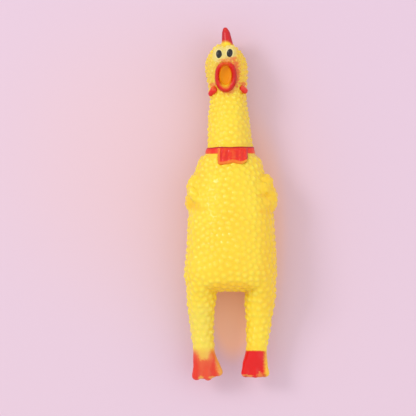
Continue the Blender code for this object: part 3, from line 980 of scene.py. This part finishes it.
# where across the bow each fold lies, its half width, and its height
BOW_FOLDS = (
    (-0.75, 0.06, -0.45),
    (-0.55, 0.09, 0.7),
    (-0.36, 0.07, -0.3),
    (-0.16, 0.08, 0.45),
    (0.04, 0.10, 0.35),
    (0.32, 0.10, -0.3),
    (0.50, 0.07, 0.4),
    (0.68, 0.07, -0.25),
    (0.84, 0.07, 0.3),
)
BOW_GRID = (101, 49)


def bow_place(u, v):
    """Place on the bow and how thin its paint is, below 0 painted shade. u runs across it and v up it, both from -1 to
    1.
    """
    middle = sum(BOW_SIDES) / 2
    flare = 1.0 - 0.09 * max(0.0, -v - 0.35) - 0.02 * (1.0 + v)
    x = middle + u * (BOW_SIDES[1] - BOW_SIDES[0]) / 2 * flare
    low = np.interp(u, *BOW_BOTTOM)
    station = low + (BOW_TOP - low) * (v + 1) / 2
    rim = min(1.0 - abs(u), (1.0 + v) * 0.55, (1.0 - v) * 0.8)
    puff = math.sqrt(max(0.0, 1.0 - (1.0 - min(rim / 0.15, 1.0)) ** 2))
    lean = u - 0.06 * v * (1.0 - abs(u))
    folds = sum(height * math.exp(-(((lean - where) / wide) ** 2)) for where, wide, height in BOW_FOLDS)
    folds *= math.exp(-(((v - 0.15) / 0.62) ** 4)) * min(1.0, rim / 0.12)
    height = BOW_THICK * puff + 0.9 * folds
    edge = min((1.0 + u) / BOW_RIM[0], (1.0 + v) / (BOW_RIM[1] * (1.0 + 0.2 * math.exp(-((u / 0.3) ** 2)))))
    rimmed = float(np.interp(edge, (0.7, 1.0), (1.0, 0.0)))
    # thin paint along the rim, thinner to one side; painted shade darkens the edge away from the key light
    thin = (0.30 + 0.28 * max(0.0, u)) * rimmed - 0.6 * float(np.interp(u, (0.9, 0.98), (0.0, 1.0))) * (1.0 - rimmed)
    # painted shade in the valleys of the folds; the middle is a little thinner
    thin -= 0.5 * max(0.0, -folds) - 0.04 * math.exp(-((u / 0.35) ** 2))
    ground = 0.55 * skin_below(x, station)[0] + 0.45 * skin_below(middle, station)[0]
    return (x, station, ground - 0.45 + height), thin


def make_bow():
    rows, paint = [], []
    for u in np.linspace(-1.0, 1.0, BOW_GRID[0]):
        row = []
        for v in np.linspace(-1.0, 1.0, BOW_GRID[1]):
            place, thin = bow_place(float(u), float(v))
            row.append(place)
            paint.append(thin)
        rows.append(row)
    bow = grid_piece("bow", rows)
    store_thin(bow.data, paint)
    relax(bow.data, 2)
    return bow


bow = make_bow()
print("bow tie:", len(bow.data.polygons), "faces")

# %% [markdown]
# Each of these pieces rides on the head or the chest, and stands for the simpler part of the frame in the
# same place.
# %% Attach the painted parts
PAINTED = [
    (beak, "head", "beak_ring", "red_paint"),
    (throat, "head", "throat_lining", "orange_paint"),
    (comb, "head", "comb", "red_paint"),
    (collar, "torso", "collar_band", "red_paint"),
    (bow, "torso", "bow_tie", "red_paint"),
]
for side in ("right", "left"):
    PAINTED.append((wattles[side], "head", f"wattle_{side}", "red_paint"))
    PAINTED.append((eyes[side][0], "head", f"eye_white_{side}", "white_paint"))
    PAINTED.append((eyes[side][1], "head", f"pupil_{side}", "black_paint"))
for piece, body, node, slot in PAINTED:
    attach(piece, body)
    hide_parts(node)
print(len(PAINTED), "painted parts")

# %% [markdown]
# ## Finishes
#
# The toy has one moulded colour and four sprayed ones. The same few effects turn up in all of them, so each
# is a node group with named sockets, made once. All of them read the place that was stored on the mesh, in
# millimetres, so their sizes are real sizes.
# %% Helpers for node trees
def feed(tree, socket, value):
    """Links value to the socket if it is a socket, or sets it."""
    if isinstance(value, bpy.types.NodeSocket):
        tree.links.new(value, socket)
    elif value is not None:
        socket.default_value = value


def node(tree, kind, values=(), **settings):
    """A new node. values fill its inputs in order, and settings are its own properties."""
    made = tree.nodes.new(kind)
    for key, setting in settings.items():
        setattr(made, key, setting)
    for socket, value in zip(made.inputs, values):
        feed(tree, socket, value)
    return made


def calc(tree, operation, *values, clamp=False):
    return node(tree, "ShaderNodeMath", values, operation=operation, use_clamp=clamp).outputs[0]


def mix(tree, factor, first, second):
    """A colour from first at 0 to second at 1."""
    made = tree.nodes.new("ShaderNodeMix")
    made.data_type = "RGBA"
    feed(tree, made.inputs[0], factor)
    feed(tree, made.inputs[6], first if not isinstance(first, tuple) else (*first, 1.0))
    feed(tree, made.inputs[7], second if not isinstance(second, tuple) else (*second, 1.0))
    return made.outputs[2]


def start_group(name, inputs, outputs):
    """An empty node group. Its sockets are rows of (name, kind, value)."""
    tree = bpy.data.node_groups.new(name, "ShaderNodeTree")
    for way, rows in (("INPUT", inputs), ("OUTPUT", outputs)):
        for label, kind, value in rows:
            made = tree.interface.new_socket(name=label, in_out=way, socket_type=kind)
            if value is not None:
                made.default_value = value
    return tree, tree.nodes.new("NodeGroupInput").outputs, tree.nodes.new("NodeGroupOutput").inputs


def use_group(tree, group, **values):
    """Places a group in a tree. Underscores in a name stand for spaces."""
    made = tree.nodes.new("ShaderNodeGroup")
    made.node_tree = group
    for name, value in values.items():
        feed(tree, made.inputs[name.replace("_", " ")], value)
    return made.outputs


def noise_at(tree, place, scale, detail):
    return node(tree, "ShaderNodeTexNoise", (place, None, scale, detail)).outputs[0]


def vector_sum(tree, operation, *values):
    return node(tree, "ShaderNodeVectorMath", values, operation=operation).outputs


def stored(tree, name):
    """What is stored on the mesh under a name."""
    return node(tree, "ShaderNodeAttribute", attribute_name=name).outputs


def own_millimetres(tree):
    """The object's own coordinates, in millimetres."""
    own = node(tree, "ShaderNodeTexCoord").outputs["Object"]
    return vector_sum(tree, "SCALE", own, None, None, 1.0 / MM)[0]


NUMBER, PLACE, COLOUR = "NodeSocketFloat", "NodeSocketVector", "NodeSocketColor"
print("node helpers are ready")

# %% [markdown]
# *Mottle* is the slow cloudiness of a thick soft moulding. *Grain* is the very fine texture of its surface,
# which breaks up the gloss. *Soft spot* is the mask of one puff of paint or one patch of painted shade or
# light: an oval with a soft edge, broken into specks where the spray is thin.
# %% Shared effects
def make_mottle():
    tree, given, out = start_group(
        "mottle", [("Place", PLACE, None), ("Size", NUMBER, 8.0), ("Contrast", NUMBER, 1.0)], [("Mask", NUMBER, None)]
    )
    cloud = noise_at(tree, given["Place"], calc(tree, "DIVIDE", 1.0, given["Size"]), 2.0)
    strong = calc(tree, "MULTIPLY", calc(tree, "SUBTRACT", cloud, 0.5), given["Contrast"])
    feed(tree, out["Mask"], calc(tree, "ADD", strong, 0.5, clamp=True))
    return tree


def make_grain():
    tree, given, out = start_group("grain", [("Place", PLACE, None), ("Size", NUMBER, 0.3)], [("Height", NUMBER, None)])
    scale = calc(tree, "DIVIDE", 1.0, given["Size"])
    wide = calc(tree, "MULTIPLY", scale, 0.6)
    pits = node(tree, "ShaderNodeTexVoronoi", (given["Place"], None, wide), feature="SMOOTH_F1").outputs["Distance"]
    fine = noise_at(tree, given["Place"], scale, 3.0)
    feed(tree, out["Height"], calc(tree, "MULTIPLY_ADD", pits, 0.5, fine))
    return tree


def make_soft_spot():
    tree, given, out = start_group(
        "soft spot",
        [
            ("Place", PLACE, None),
            ("Middle", PLACE, None),
            ("Radii", PLACE, (1.0, 1.0, 1.0)),
            ("Softness", NUMBER, 1.0),
            ("Specks", NUMBER, 0.5),
            ("Speck Size", NUMBER, 0.8),
        ],
        [("Mask", NUMBER, None)],
    )
    away = vector_sum(tree, "SUBTRACT", given["Place"], given["Middle"])[0]
    away = vector_sum(tree, "DIVIDE", away, given["Radii"])[0]
    far = vector_sum(tree, "LENGTH", away)["Value"]
    radius = node(tree, "ShaderNodeSeparateXYZ", (given["Radii"],)).outputs[0]
    outside = calc(tree, "MULTIPLY", calc(tree, "SUBTRACT", far, 1.0), radius)
    specks = noise_at(tree, given["Place"], calc(tree, "DIVIDE", 1.0, given["Speck Size"]), 1.0)
    broken = calc(tree, "MULTIPLY_ADD", calc(tree, "SUBTRACT", specks, 0.5), given["Specks"], outside)
    fade = node(tree, "ShaderNodeMapRange", (broken, given["Softness"], 0.0), interpolation_type="SMOOTHSTEP")
    feed(tree, out["Mask"], fade.outputs[0])
    return tree


mottle, grain, soft_spot = make_mottle(), make_grain(), make_soft_spot()
print("shared effects:", [g.name for g in bpy.data.node_groups])

# %% [markdown]
# Every material begins the same way: a shader with its fixed numbers, the place on the piece, and a fine
# grain through a Bump node. Every finish also varies a little in how rough it is.
# %% Start of a material
GRAIN_DEPTH = 0.06 * MM


def cloud_at(tree, place, size, contrast):
    return use_group(tree, mottle, Place=place, Size=size, Contrast=contrast)["Mask"]


def start_material(name, grain_size, grain_strength, ridden=True, **fixed):
    """A material with grain, on a part with stored places or on one without. fixed are the shader's own numbers."""
    made = bpy.data.materials.new(name)
    made.use_nodes = True
    tree = made.node_tree
    shader = tree.nodes["Principled BSDF"]
    for label, value in fixed.items():
        shader.inputs[label.replace("_", " ")].default_value = value
    place = stored(tree, "rest_place")["Vector"] if ridden else own_millimetres(tree)
    height = use_group(tree, grain, Place=place, Size=grain_size)["Height"]
    bump = node(tree, "ShaderNodeBump")
    for label, value in (("Strength", grain_strength), ("Distance", GRAIN_DEPTH), ("Height", height)):
        feed(tree, bump.inputs[label], value)
    feed(tree, shader.inputs["Normal"], bump.outputs[0])
    return made, tree, shader, place


def coat(tree, shader, colour, mask, spread, roughness):
    """The colour of a shader, and a roughness that a mask raises by up to spread."""
    feed(tree, shader.inputs["Base Color"], colour)
    feed(tree, shader.inputs["Roughness"], calc(tree, "MULTIPLY_ADD", mask, spread, roughness))


def finish_piece(piece, material):
    piece.data.materials.clear()
    piece.data.materials.append(material)


print("grain is", GRAIN_DEPTH / MM, "mm deep")

# %% [markdown]
# ## The yellow vinyl
#
# Soft vinyl lets light in a little way. The tops of the bumps are painted paler, a painted highlight, and the
# creases deeper orange, a painted shade; the stored bump height drives that. Slow mottle shifts the whole
# colour. Over it go painted shade in the wing creases, between the legs and on the side away from the key
# light, and the puffs of paint: the dipped feet, the red haze that missed the beak, and the blush above each
# wattle. They are a table of places, so that each can be moved or left out.
# %% Vinyl, its overspray and painted shade
YELLOW = (0.95, 0.715, 0.040)
PALE_HIGHLIGHT = (0.97, 0.80, 0.13)
DEEP = (0.92, 0.55, 0.016)
GREENISH = (0.87, 0.70, 0.085)
DULL = (0.80, 0.55, 0.06)
FOOT_RED = (0.77, 0.003, 0.003)
FOOT_ORANGE = (0.81, 0.115, 0.035)
TAN = (0.84, 0.46, 0.07)
HAZE = (0.80, 0.14, 0.03)
PEACH = (0.83, 0.36, 0.08)
VEIL = (0.80, 0.67, 0.25)
CLAW = (0.40, 0.02, 0.01)

# colour, middle (x, station, z), radii, softness, specks, strength: first slow shifts of the vinyl's colour and painted
# shade
TONES_AND_PAINTED_SHADE = (
    # painted shade where the belly turns under, between the legs
    (DEEP, (0.0, 40.5, 20.0), (7.0, 2.4, 20.0), 6.0, 2.0, 0.9),
    # painted shade in the creases of the wings
    (DEEP, (-18.6, 77.6, 16.0), (1.8, 1.6, 9.0), 2.0, 0.8, 0.6),
    (DEEP, (-15.6, 76.3, 18.0), (1.8, 1.3, 9.0), 2.0, 0.8, 0.65),
    (DEEP, (-12.6, 74.9, 20.0), (1.6, 0.8, 9.0), 2.0, 0.8, 0.5),
    (DEEP, (14.0, 81.0, 20.0), (3.2, 0.7, 9.0), 1.6, 1.0, 0.8),
    (DEEP, (15.4, 73.8, 18.0), (4.0, 0.9, 9.0), 2.2, 1.2, 0.8),
    # painted shade down the flank away from the key light; next, a slightly deeper orange over the middle of the belly
    (DEEP, (17.0, 62.0, 18.0), (2.6, 20.0, 12.0), 5.0, 2.0, 0.55),
    (DEEP, (0.0, 60.0, 30.0), (6.0, 10.0, 20.0), 8.0, 3.0, 0.22),
    # a greener yellow on one leg, a duller yellow over the whole head, and cream round the eyes
    (GREENISH, (-12.5, 20.0, 14.0), (5.0, 9.0, 20.0), 5.0, 1.0, 0.8),
    (DULL, (-1.9, 135.5, 12.0), (8.5, 8.5, 16.0), 4.0, 1.5, 0.7),
    (VEIL, (-5.3, 142.6, 20.0), (2.4, 2.9, 3.4), 1.4, 0.8, 0.7),
    (VEIL, (-0.8, 143.1, 20.0), (2.5, 2.9, 3.4), 1.4, 0.8, 0.7),
    # painted shade on the head and neck, on the side away from the key light
    (DEEP, (6.0, 134.0, 14.0), (2.6, 9.0, 12.0), 3.0, 1.5, 0.45),
    (DULL, (7.0, 112.0, 12.0), (2.4, 10.0, 12.0), 3.5, 1.5, 0.5),
)
# then the red that missed the beak and the wattles
OVERSPRAY = (
    (HAZE, (-1.6, 133.0, 20.0), (4.0, 6.3, 6.0), 1.9, 2.8, 0.8),
    (HAZE, (2.1, 135.0, 20.0), (1.2, 3.4, 6.0), 1.3, 3.2, 0.85),
    (PEACH, (-2.4, 140.0, 20.0), (2.6, 0.5, 8.0), 1.6, 1.2, 0.75),
    (HAZE, (1.1, 140.6, 20.0), (0.6, 0.5, 8.0), 1.3, 1.6, 0.75),
    (HAZE, (-7.9, 129.4, 18.0), (1.3, 0.6, 2.0), 1.5, 1.2, 0.7),
    (HAZE, (5.7, 129.7, 18.0), (1.3, 0.7, 2.0), 1.5, 1.2, 0.75),
)
# and the paint on the feet: the sign at the end says which side of the toy it stays on
FEET = (
    (TAN, (-11.0, -20.0, 11.0), (30.0, 31.4, 200.0), 3.6, 1.0, 0.85, -1),
    (FOOT_ORANGE, (-11.0, -20.0, 11.0), (30.0, 28.0, 200.0), 2.4, 2.0, 1.0, -1),
    (FOOT_ORANGE, (-16.4, 7.4, 11.0), (1.7, 3.2, 20.0), 2.2, 0.8, 1.0, -1),
    (FOOT_RED, (-16.8, 3.0, 11.0), (1.9, 4.6, 20.0), 2.4, 0.8, 0.7, -1),
    (FOOT_RED, (-10.4, 2.6, 11.0), (1.2, 2.4, 20.0), 2.4, 0.8, 0.35, -1),
    (FOOT_ORANGE, (-8.2, 9.6, 12.0), (0.9, 1.8, 9.0), 1.6, 0.8, 0.8, -1),
    (FOOT_RED, (-7.0, 4.6, 12.0), (1.1, 3.2, 9.0), 1.6, 0.8, 0.6, -1),
    (TAN, (-5.6, 10.0, 12.0), (0.5, 2.4, 9.0), 1.5, 1.0, 0.7, -1),
    (TAN, (-3.9, 5.6, 12.0), (0.5, 3.6, 9.0), 1.6, 1.4, 0.8, -1),
    (TAN, (-13.2, 0.9, 12.0), (0.4, 0.3, 8.0), 1.2, 2.4, 0.8, -1),
    (TAN, (-8.2, 1.0, 12.0), (0.9, 0.3, 8.0), 1.4, 1.8, 0.7, -1),
    (FOOT_RED, (10.6, -20.0, 11.0), (30.0, 32.6, 200.0), 0.7, 0.6, 1.0, 1),
    (YELLOW, (17.0, 8.0, 11.0), (1.0, 7.4, 20.0), 2.3, 1.4, 0.8, 1),
    (TAN, (8.4, 1.4, 12.0), (0.7, 0.3, 8.0), 1.3, 3.0, 0.6, 1),
    (TAN, (12.7, 1.8, 12.0), (0.5, 0.7, 8.0), 1.2, 3.0, 0.45, 1),
    (TAN, (6.4, 1.9, 12.0), (0.7, 0.3, 8.0), 1.0, 2.6, 0.6, 1),
    (CLAW, (6.6, 1.7, 13.0), (0.3, 0.3, 3.0), 0.7, 1.0, 0.4, 1),
    (CLAW, (14.9, 1.8, 13.0), (0.3, 0.3, 3.0), 0.7, 1.0, 0.4, 1),
)


def lay_spots(tree, colour, place, spots):
    """Lays each spot in turn over a colour, whether paint or painted shade and light."""
    side = node(tree, "ShaderNodeSeparateXYZ", (place,)).outputs[0]
    for paint, middle, radii, softness, specks, strength, *sign in spots:
        spot = dict(Middle=middle, Radii=radii, Softness=softness, Specks=specks)
        mask = use_group(tree, soft_spot, Place=place, **spot)["Mask"]
        mask = calc(tree, "MULTIPLY", mask, strength)
        for way in sign:
            on_side = calc(tree, "GREATER_THAN", calc(tree, "MULTIPLY", side, float(way)), 0.0)
            mask = calc(tree, "MULTIPLY", mask, on_side)
        colour = mix(tree, mask, colour, paint)
    return colour


def make_vinyl():
    made, tree, shader, place = start_material(
        "yellow vinyl", 0.35, 0.5, Subsurface_Weight=0.2, Subsurface_Scale=0.0015, Subsurface_Radius=(1.0, 0.55, 0.1),
        Specular_IOR_Level=0.12, Coat_Weight=0.6, Coat_Roughness=0.15,
    )
    height = stored(tree, "bump")["Fac"]
    slow, quick = cloud_at(tree, place, 11.0, 1.8), cloud_at(tree, place, 1.7, 1.6)
    # painted shade: the creases between the bumps turn deeper orange
    low = calc(tree, "MULTIPLY", calc(tree, "SUBTRACT", 0.6, height, clamp=True), slow)
    # painted highlight: the tops of the bumps turn pale
    high = calc(tree, "MULTIPLY", calc(tree, "SUBTRACT", height, 0.55, clamp=True), quick)
    colour = mix(tree, high, mix(tree, low, YELLOW, DEEP), PALE_HIGHLIGHT)
    coat(tree, shader, lay_spots(tree, colour, place, TONES_AND_PAINTED_SHADE + OVERSPRAY + FEET), quick, 0.16, 0.30)
    return made


vinyl = make_vinyl()
for piece in skin.values():
    finish_piece(piece, vinyl)
print("vinyl:", len(vinyl.node_tree.nodes), "nodes")

# %% [markdown]
# ## Sprayed reds
#
# The red is a thin glossy lacquer over yellow vinyl. Where it is thin it turns to orange, and then the yellow
# shows. One group makes that from the thinness stored on each piece, a little mottle, and two colours. The
# pieces were sprayed at different times with slightly different reds, so each has its own values.
# %% Red lacquer
# the deepest red: painted shade, and also the darker collar edge and wattle ends
DARKENED_RED = (0.34, 0.003, 0.012)


def make_thin_lacquer():
    tree, given, out = start_group(
        "thin lacquer",
        [
            ("Place", PLACE, None),
            ("Thinness", NUMBER, 0.0),
            ("Lacquer", COLOUR, (0.8, 0.0, 0.0, 1.0)),
            ("Vinyl", COLOUR, (0.9, 0.5, 0.0, 1.0)),
        ],
        [("Color", COLOUR, None), ("Cover", NUMBER, None)],
    )
    cloud = cloud_at(tree, given["Place"], 1.8, 1.5)
    uneven = calc(tree, "MULTIPLY_ADD", calc(tree, "SUBTRACT", cloud, 0.5), 0.28, given["Thinness"])
    worn = calc(tree, "MAXIMUM", uneven, 0.0)
    half = mix(tree, 0.5, given["Lacquer"], given["Vinyl"])
    darkening = calc(tree, "MULTIPLY", given["Thinness"], -1.0, clamp=True)
    full = mix(tree, darkening, given["Lacquer"], DARKENED_RED)
    first = mix(tree, calc(tree, "MULTIPLY", worn, 1.6, clamp=True), full, half)
    second = calc(tree, "SUBTRACT", calc(tree, "MULTIPLY", worn, 2.2), 1.1, clamp=True)
    feed(tree, out["Color"], mix(tree, second, first, given["Vinyl"]))
    feed(tree, out["Cover"], calc(tree, "SUBTRACT", 1.0, worn, clamp=True))
    return tree


thin_lacquer = make_thin_lacquer()


def make_lacquer(name, red, roughness, gloss):
    made, tree, shader, place = start_material(
        name, 0.5, 0.35, Specular_IOR_Level=0.24, Coat_Roughness=0.12, Subsurface_Weight=0.05, Subsurface_Scale=0.001
    )
    thin = stored(tree, "thin")["Fac"]
    paint = use_group(tree, thin_lacquer, Place=place, Thinness=thin, Lacquer=(*red, 1.0), Vinyl=(*YELLOW, 1.0))
    coat(tree, shader, paint["Color"], cloud_at(tree, place, 0.9, 1.4), 0.12, roughness)
    feed(tree, shader.inputs["Coat Weight"], calc(tree, "MULTIPLY", paint["Cover"], gloss))
    return made


# red, roughness and weight of the clear coat for each piece
LACQUERS = (
    (beak, "beak lacquer", (0.71, 0.014, 0.008), 0.24, 0.12),
    (comb, "comb lacquer", (0.64, 0.012, 0.018), 0.26, 0.2),
    (wattles["right"], "right wattle lacquer", (0.80, 0.016, 0.014), 0.22, 0.2),
    (wattles["left"], "left wattle lacquer", (0.80, 0.030, 0.018), 0.22, 0.4),
    (collar, "collar lacquer", (0.85, 0.030, 0.014), 0.28, 0.12),
    (bow, "bow lacquer", (0.82, 0.024, 0.008), 0.25, 0.3),
)
for piece, *finish in LACQUERS:
    finish_piece(piece, make_lacquer(*finish))
print(len(LACQUERS), "red finishes")

# %% [markdown]
# The throat has an even coat of amber, a little darker to one side. The cream of the eyes was sprayed through
# a stencil, so it fades into the yellow at its rim. The black beads were stamped last and are the glossiest
# thing on the toy.
# %% Throat and eyes
AMBER = (0.90, 0.40, 0.003)
AMBER_DARK = (0.85, 0.30, 0.002)
AMBER_MIDDLE = tuple(0.3 * light + 0.7 * dark for light, dark in zip(AMBER, AMBER_DARK))
CREAM = (0.82, 0.70, 0.34)
BLACK = (0.012, 0.011, 0.012)
BLACK_WORN = (0.03, 0.028, 0.03)


def cloudy_paint(name, grain_look, cloud_look, colours, spread, spots=(), stretch=None, ridden=True, **fixed):
    """A material that drifts between two colours. grain_look is a size and a strength, cloud_look a size and a
    contrast, and spread is how far the roughness varies and where it starts."""
    made, tree, shader, place = start_material(name, *grain_look, ridden, **fixed)
    drawn_out = vector_sum(tree, "MULTIPLY", place, stretch)[0] if stretch else place
    cloud = cloud_at(tree, drawn_out, *cloud_look)
    colour = lay_spots(tree, mix(tree, cloud, *colours), place, spots)
    coat(tree, shader, colour, cloud, *spread)
    return made


amber_spots = ((AMBER_DARK, (-1.4, 133.8, 18.0), (1.3, 3.6, 6.0), 1.6, 0.8, 0.6),)
cream_spots = [(CREAM, (x, station - 0.1, 19.0), (1.45, 2.0, 12.0), 0.9, 0.6, 0.9) for x, station in EYES.values()]
finish_piece(throat, cloudy_paint(
    "amber paint", (0.4, 0.3), (2.0, 1.4), (AMBER, AMBER_MIDDLE), (0.1, 0.34), amber_spots, Specular_IOR_Level=0.15
))
cream_paint = cloudy_paint(
    "cream paint", (0.4, 0.3), (0.8, 1.4), (YELLOW, YELLOW), (0.1, 0.3), cream_spots, Specular_IOR_Level=0.3
)
black_gloss = cloudy_paint(
    "black gloss", (0.6, 0.15), (0.7, 1.6), (BLACK, BLACK_WORN), (0.08, 0.1),
    Specular_IOR_Level=0.3, Coat_Roughness=0.05, Coat_Weight=0.1,
)
for cream, black in eyes.values():
    finish_piece(cream, cream_paint)
    finish_piece(black, black_gloss)
print("throat and eyes are painted")

# %% [markdown]
# The squeaker behind the beak is never seen, but it is part of the toy. Its parts come straight from the
# frame and have no stored place, so their grain is laid in the object's own coordinates. The body is a milky
# hard plastic, and the reed is a strip of clear film.
# %% Squeaker
milky_plastic = cloudy_paint(
    "milky plastic", (0.5, 0.4), (3.0, 1.5), ((0.80, 0.80, 0.77), (0.70, 0.70, 0.66)), (0.15, 0.3),
    ridden=False, Coat_Weight=0.05, Subsurface_Weight=0.1, Subsurface_Scale=0.001,
)
reed_film = cloudy_paint(
    "reed film", (0.5, 0.4), (2.0, 1.6), ((0.60, 0.66, 0.68), (0.48, 0.54, 0.57)), (0.12, 0.15),
    stretch=(6.0, 6.0, 0.6), ridden=False, Specular_IOR_Level=0.6,
)
for name in ("squeaker_housing", "squeaker_cap", "reed_seat", "reed_clip"):
    bpy.data.objects[name].material_slots[0].material = milky_plastic
bpy.data.objects["reed"].material_slots[0].material = reed_film
print("squeaker has", milky_plastic.name, "and", reed_film.name)

# %% [markdown]
# ## Floor and light
#
# The toy lies on a plain sheet of pale pink card. One large soft light stands to its right-hand side, so the
# bumps are modelled and the shadow falls softly to the other side. A weak light across from it and the pale
# surroundings fill the shadows. Light bounced off the yellow vinyl is painted onto the card close to the toy:
# a warm glow on its lit side, between the legs, and in the shadow along its other flank.
# %% Floor, light and surroundings
FLOOR_SIZE = 3.0
FLOOR_PINK = (0.755, 0.570, 0.690)
FLOOR_LILAC = (0.750, 0.565, 0.700)
FLOOR_PAINTED_GLOW = (0.80, 0.565, 0.625)
FLOOR_PAINTED_BOUNCE = (1.0, 0.61, 0.44)  # painted bounce light from the yellow vinyl
# colour, middle (x, y, z), radii, softness, specks, strength
FLOOR_PAINTED_LIGHT = (
    # painted light: a glow on the lit side, bounce between the legs, and bounce in the shadow along the other flank
    (FLOOR_PAINTED_GLOW, (-35.0, 20.0, 0.0), (10.0, 10.0, 10.0), 85.0, 0.0, 0.8),
    (FLOOR_PAINTED_BOUNCE, (1.0, -48.0, 0.0), (6.5, 14.0, 10.0), 5.5, 0.0, 0.85),
    (FLOOR_PAINTED_BOUNCE, (9.0, -12.0, 0.0), (11.0, 36.0, 10.0), 7.0, 0.0, 0.35),
)
LIGHT_COLOUR = (1.0, 0.985, 0.97)
# place, size and power
LIGHTS = {"key": (Vector((-0.96, 0.51, 0.99)), 0.48, 5.4), "fill": (Vector((0.62, -0.10, 0.60)), 0.8, 0.9)}
SKY = (1.0, 0.985, 0.985)
SKY_STRENGTH = 0.88


def make_floor():
    bm = bmesh.new()
    bmesh.ops.create_grid(bm, x_segments=1, y_segments=1, size=FLOOR_SIZE / 2)
    mesh = mesh_of(bm, "floor")
    floor = bpy.data.objects.new("floor", mesh)
    bpy.context.scene.collection.objects.link(floor)
    made = bpy.data.materials.new("pink card")
    made.use_nodes = True
    tree = made.node_tree
    shader = tree.nodes["Principled BSDF"]
    shader.inputs["Roughness"].default_value = 0.75
    shader.inputs["Specular IOR Level"].default_value = 0.2
    place = own_millimetres(tree)
    slope = vector_sum(tree, "DOT_PRODUCT", place, (0.004, 0.005, 0.0))["Value"]
    colour = mix(tree, calc(tree, "ADD", slope, 0.35, clamp=True), FLOOR_PINK, FLOOR_LILAC)
    feed(tree, shader.inputs["Base Color"], lay_spots(tree, colour, place, FLOOR_PAINTED_LIGHT))
    mesh.materials.append(made)
    floor.location.z = -0.02 * MM


def add_soft_light(name, place, size, power):
    light = bpy.data.lights.new(name, "AREA")
    light.size = size
    light.energy = power
    light.color = LIGHT_COLOUR
    holder = bpy.data.objects.new(name, light)
    bpy.context.scene.collection.objects.link(holder)
    holder.location = place
    holder.rotation_euler = (-place).to_track_quat("-Z", "Y").to_euler()


def make_surroundings():
    world = bpy.data.worlds.new("studio")
    bpy.context.scene.world = world
    world.use_nodes = True
    sky = world.node_tree.nodes["Background"]
    sky.inputs["Color"].default_value = (*SKY, 1.0)
    sky.inputs["Strength"].default_value = SKY_STRENGTH


make_floor()
make_surroundings()
for name, settings in LIGHTS.items():
    add_soft_light(name, *settings)
bpy.context.scene.view_settings.view_transform = "Standard"
print("key light is", round(LIGHTS["key"][0].length, 2), "m away")
